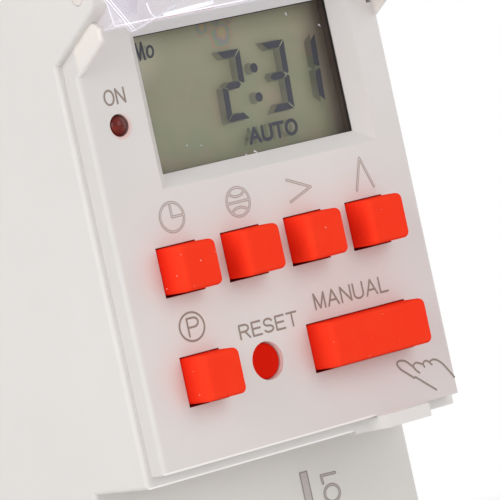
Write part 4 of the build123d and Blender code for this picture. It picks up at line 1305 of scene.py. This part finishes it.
def rods(paths, width, height=None):
    """Points and faces of rods along paths of points, round or flattened upright."""
    points, faces = [], []
    for path in paths:
        path = [Vector(point) for point in path]
        start = len(points)
        for index, here in enumerate(path):
            ahead = (path[min(index + 1, len(path) - 1)] - path[max(index - 1, 0)]).normalized()
            upright = Vector((0, 0, 1)) if abs(ahead.z) < 0.8 else Vector((0, 1, 0))
            first = ahead.cross(upright).normalized()
            second = first.cross(ahead)
            for side in range(ROD_SIDES):
                angle = 2 * math.pi * side / ROD_SIDES
                reach = first * math.cos(angle) * width / 2 + second * math.sin(angle) * (height or width) / 2
                points.append((here + reach) * MM)
        last = len(points) - ROD_SIDES
        for ring in range(start, last, ROD_SIDES):
            faces += band(ring, ring + ROD_SIDES, ROD_SIDES)
        faces.append(tuple(start + side for side in reversed(range(ROD_SIDES))))
        faces.append(tuple(last + side for side in range(ROD_SIDES)))
    return points, faces


cover_edges = sharp_edges("clear_cover", 35, 0.5)
print("sharp edges of the cover:", len(cover_edges))

# %% [markdown]
# Where an edge lies decides how its painted highlight looks. The inner rims near the hinge
# show two fine bright lines each, the feet of the arms one stronger line, and the others faint ones.
# Three short lines of the neck, at which no sharp edge lies, are listed.

# %% Painted highlights along the cover's edges
RIM_X, ARM_X, RIM_LINES = 17.35, 15.0, 0.30


def cover_highlight_rod(name, paths, look, width, height=None):
    return piece(name, *rods(paths, width, height), look, "cover", "clear_plastic")


def lies_at(x, ends):
    """Whether both ends are this far from the middle of the cover."""
    return all(abs(abs(end.x) - x) < 0.01 for end in ends)


bright, strong, faint = [], [], []
for start, end in cover_edges:
    near_arms = max(start.y, end.y) > -59
    neck_line = abs(start.x - end.x) > 25 and max(start.z, end.z) < 20
    inner_arm = lies_at(ARM_X, (start, end))
    if near_arms and lies_at(RIM_X, (start, end)):
        apart = Vector((math.copysign(RIM_LINES, start.x), 0, 0))
        bright += [(start, end), (start + apart, end + apart)]
    elif near_arms and inner_arm and min(start.y, end.y) > -58:
        strong.append((start, end))
    elif neck_line or not inner_arm:
        faint.append((start, end))
soft = [((-14.71, -57.66, 17.62), (-13.84, -57.66, 17.60))]
soft += [((-17.70, -63.74, 16.49), (-17.40, -63.74, 16.49), (-17.39, -66.60, 17.09), (-17.39, -70.00, 17.79))]
pink_highlight_line = [((-11.30, -56.79, 17.24), (-3.40, -56.79, 17.24))]
# glowing rods: painted highlights along the cover's edges, and a pink one on the neck
cover_highlight_rod("cover_bright_edges", bright, bright_highlight, 0.075)
cover_highlight_rod("cover_strong_edges", strong, bright_highlight, 0.13)
cover_highlight_rod("cover_soft_edges", soft, soft_highlight, 0.09)
cover_highlight_rod("cover_faint_edges", faint, faint_highlight, 0.09)
cover_highlight_rod("cover_pink_highlight_edge", pink_highlight_line, pink_highlight, 0.10)
print("beads:", len(bright) + len(strong), "bright,", len(soft), "soft and", len(faint), "faint")

# %% [markdown]
# A few flakes of lint lie on the display, as on any device that has been in a drawer, and
# two short rods at its lower edge are painted highlights on a burr of the window's edge.
# Each lint flake is a short bent fibre, and all of them have a faint painted glow.

# %% Lint and glints on the display
SILL_GLINT_Y, LINT_LIFT = -52.54, 0.06
glass_lint = [[(8.60, 15.66), (8.70, 15.52), (8.74, 15.36)], [(12.08, 13.99), (12.20, 13.93), (12.28, 13.80)],
              [(-5.48, 5.93), (-5.36, 5.90)], [(-3.90, 5.68), (-3.86, 5.60)]]
sill_glints = [[(0.94, 4.16), (1.10, 4.05), (1.24, 3.93)], [(-0.06, 3.98), (0.06, 4.0)]]
paths = [[(x, glass_front - LINT_LIFT, z) for x, z in fibre] for fibre in glass_lint]
paths += [[(x, SILL_GLINT_Y, z) for x, z in fibre] for fibre in sill_glints]
# the glass lint and the painted highlights at the sill share one finish with a faint painted glow
piece("display_lint_and_glints", *rods(paths, 0.12), painted_glow_finish("lint", 0.6, 0.08), "base", "lcd")
print("fibres:", len(paths))

# %% [markdown]
# The neck of the cover, between its arms, has two painted glints: a small hook at the left
# and a flat band beside it. Each is a glowing rod along the curve that the light follows.

# %% Glints of the cover's neck
hook = [(-10.97, -57.50, 18.77), (-10.95, -57.58, 18.31), (-10.88, -57.68, 17.80),
        (-10.72, -57.76, 17.52), (-10.47, -57.78, 17.41)]
flat_band = [(-9.60, -57.74, 17.42), (-9.0, -57.76, 17.47), (-6.5, -57.74, 17.60), (-3.97, -57.72, 17.70)]
cover_highlight_rod("cover_glint_hooks", [hook], painted_glow_finish("glint", 1.0, 0.4), 0.11)
cover_highlight_rod("cover_glint_band", [flat_band], painted_glow_finish("glint_band", 0.75, 0.32), 0.08, 0.36)
print("glints of the neck:", len(hook) + len(flat_band), "points")

# %% [markdown]
# The cover turns on two short pins. Their ends fill the small holes in the cheeks of the
# housing, and being cut and frosted they don't look clear but almost as white as it.

# %% Pin ends
PIN_R, PIN_OUT, PIN_IN = 0.74, 18.0, 17.80
frosted = coated("frosted_pin", tint(240, 232, 228), tint(230, 220, 216), 0.5, 0.004)
pin = [(PIN_R, PIN_IN), (PIN_R, PIN_OUT), (PIN_R - 0.08, PIN_OUT + 0.03)]
pin += [(0.3, PIN_OUT + 0.02), (0.02, PIN_OUT - 0.01)]
points, faces = [], []
for side in (-1, 1):
    skin, skin_faces = turned(pin, 0, 0, 32)
    start = len(points)
    points += [Vector((side * point.y, HINGE_Y * MM + point.x, HINGE_Z * MM + point.z)) for point in skin]
    faces += [tuple(start + index for index in (face if side < 0 else reversed(face))) for face in skin_faces]
piece("hinge_pin_ends", points, faces, frosted, "cover", "clear_plastic")
print("pin ends:", len(points), "points")

# %% [markdown]
# The catch that holds the cover shut grows out of the plate's lower edge. A small fillet
# closes the seam over it, which would else be a black line.

# %% Lip over the catch
lip_path = [(7.2, -53.70, -21.56), (8.0, -53.80, -21.55), (13.25, -53.80, -21.55)]
lip = piece("catch_lip", *rods([lip_path], 0.16), housing_plastic, "base", "housing")
print("lip:", len(lip.data.polygons), "faces")

# %% [markdown]
# The rail latch is pushed home by a small coil spring. In CAD it is a coarse coil. Here it
# is wound again from round wire, with its end turns lying flat as on a real one.

# %% Latch spring
WIRE, TURNS, PER_TURN, SIDES = 0.25, 7, 26, 10
FLAT_TURNS, FLAT_RISE = 0.13, 0.05


def climb(share):
    """Height along the wire from 0 to 1: flat end turns, and an even rise between them."""
    if share < FLAT_TURNS:
        return FLAT_RISE * share / FLAT_TURNS
    if share > 1 - FLAT_TURNS:
        return 1 - climb(1 - share)
    return FLAT_RISE + (1 - 2 * FLAT_RISE) * (share - FLAT_TURNS) / (1 - 2 * FLAT_TURNS)


low, high = box_mm("latch_spring")
middle = (low + high) / 2
coil_r = (high.x - low.x) / 2 - WIRE
count = TURNS * PER_TURN
points, faces = [], []
for step in range(count + 1):
    angle = 2 * math.pi * TURNS * step / count
    outward = Vector((math.cos(angle), math.sin(angle), 0))
    rise = low.z + WIRE + (high.z - low.z - 2 * WIRE) * climb(step / count)
    centre = Vector((middle.x, middle.y, rise)) + outward * coil_r
    for side in range(SIDES):
        turn = 2 * math.pi * side / SIDES
        points.append((centre + outward * WIRE * math.cos(turn) + Vector((0, 0, WIRE * math.sin(turn)))) * MM)
for ring in range(0, len(points) - SIDES, SIDES):
    faces += band(ring, ring + SIDES, SIDES)
faces.append(tuple(range(SIDES)))
faces.append(tuple(range(len(points) - 1, len(points) - SIDES - 1, -1)))
spring = piece("latch_spring_wire", points, faces, spring_steel, "base", "spring_steel")
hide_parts("latch_spring")
print("spring:", TURNS, "turns,", len(points), "points")

# %% [markdown]
# The setting is a plain catalogue one. The floor is pale and catches a soft shadow near
# the object, and further out it turns into the white of the page for rays that come from
# the camera, a mirror or glass.

# %% Floor
def page_rays(finish):
    """1 for rays that should see the white page."""
    total = None
    for name in ("Is Camera Ray", "Is Glossy Ray", "Is Transmission Ray"):
        ray = finish.add("ShaderNodeLightPath", output=name)
        total = ray if total is None else total + ray
    return finish.add("ShaderNodeMath", {"operation": "MINIMUM"}, {0: total, 1: 1.0})


def floor_finish():
    finish = Finish("floor_page")
    spot = finish.add("ShaderNodeTexCoord", output="Object")
    reach = finish.add("ShaderNodeVectorMath", {"operation": "LENGTH"}, {0: spot}, output="Value")
    far = finish.add("ShaderNodeMapRange", inputs={"Value": reach, "From Min": 0.05, "From Max": 0.12})
    grain = cloud(finish, 2.5, detail=3)
    finish.surface_is(
        Base_Color=mixed(finish, grain, tint(238, 238, 238), tint(244, 244, 244)),
        Roughness=0.9,
    )
    page = finish.add("ShaderNodeEmission", inputs={"Color": WHITE, "Strength": 1.0})
    return finish.shows(far * page_rays(finish), page)


FLOOR_STEPS, FLOOR_RADII = 40, (0.1, 0.3, 1.0, 6.0)
floor_z = cad_box[0][2]
points = [Vector((0, 0, 0))]
for radius in FLOOR_RADII:
    for step in range(FLOOR_STEPS):
        angle = 2 * math.pi * step / FLOOR_STEPS
        points.append(Vector((radius * math.cos(angle), radius * math.sin(angle), 0)))
faces = [(0, 1 + step, 1 + (step + 1) % FLOOR_STEPS) for step in range(FLOOR_STEPS)]
for ring in range(1, len(points) - FLOOR_STEPS, FLOOR_STEPS):
    faces += band(ring, ring + FLOOR_STEPS, FLOOR_STEPS, flip=True)
floor_mesh = bpy.data.meshes.new("floor")
floor_mesh.from_pydata(points, [], faces)
floor_mesh.materials.append(floor_finish())
floor = bpy.data.objects.new("floor", floor_mesh)
floor.location = (0, -0.025, floor_z - 0.0001)
bpy.context.scene.collection.objects.link(floor)
print("floor at", round(floor_z / MM, 2), "mm")

# %% [markdown]
# The room gives an even warm white from all sides. Rays that should see the page get plain
# white instead, by the same test as on the floor, so the two meet without a line.

# %% World
AMBIENT = 0.46
room = Finish("page", bpy.data.worlds.new("page"))
bpy.context.scene.world = room.material
room.surface_is(Color=(1.0, 0.995, 0.985, 1.0), Strength=AMBIENT)
page = room.add("ShaderNodeBackground", inputs={"Color": WHITE, "Strength": 1.0})
room.shows(page_rays(room), page)
print("room light:", AMBIENT)

# %% [markdown]
# Soft boxes give the shape. A large one in front keeps the keys and the display even, one
# on the left lifts the long side of the housing, and a weak one fills the right side.

# %% Lamps
def soft_box(name, spot, aim, width, height, watts):
    light = bpy.data.lights.new(name, "AREA")
    light.shape = "RECTANGLE"
    light.size = width
    light.size_y = height
    light.energy = watts
    holder = bpy.data.objects.new(name, light)
    holder.location = spot
    direction = Vector(aim) - Vector(spot)
    holder.rotation_euler = direction.to_track_quat("-Z", "Y").to_euler()
    bpy.context.scene.collection.objects.link(holder)


TIMER_MIDDLE = (0.0, -0.035, 0.0)
soft_box("front_box", (0.20, -0.98, 0.40), TIMER_MIDDLE, 0.7, 0.7, 3.05)
soft_box("left_box", (-0.95, -0.25, 0.35), TIMER_MIDDLE, 0.6, 0.8, 4.8)
soft_box("right_box", (0.8, -0.4, 0.2), TIMER_MIDDLE, 0.5, 0.7, 0.8)
print("soft boxes: 3")

# %% [markdown]
# The camera stands at the photograph's angle: from the left and a little above, turned
# about its own axis so that the device leans, and close, so that the frame is filled by
# the face. The numbers come from lining up the plate's and keys' edges with the picture.

# %% Camera
AIM = Vector((-2.866, PLATE_FRONT, -4.284)) * MM
TURN, TILT, ROLL = (math.radians(angle) for angle in (37.615, 2.084, 12.308))
DISTANCE, LENS = 388.99 * MM, 317.18
toward = Vector((-math.sin(TURN) * math.cos(TILT), -math.cos(TURN) * math.cos(TILT), math.sin(TILT)))
right_hand = Vector((math.cos(TURN), -math.sin(TURN), 0))
upward = toward.cross(right_hand)
across = right_hand * math.cos(ROLL) - upward * math.sin(ROLL)
up = right_hand * math.sin(ROLL) + upward * math.cos(ROLL)
view = Matrix((across, up, toward)).transposed().to_4x4()
view.translation = AIM + toward * DISTANCE
camera_data = bpy.data.cameras.new("camera")
camera_data.sensor_width = 36
camera_data.lens = LENS
camera_data.clip_start = 0.01
camera = bpy.data.objects.new("camera", camera_data)
camera.matrix_world = view
bpy.context.scene.collection.objects.link(camera)
bpy.context.scene.camera = camera
bpy.context.scene.view_settings.view_transform = "Standard"
print("camera at", [round(v, 3) for v in camera.location])

# %% [markdown]
# Last, the script says that it has come to its end.


print("end of the scene")
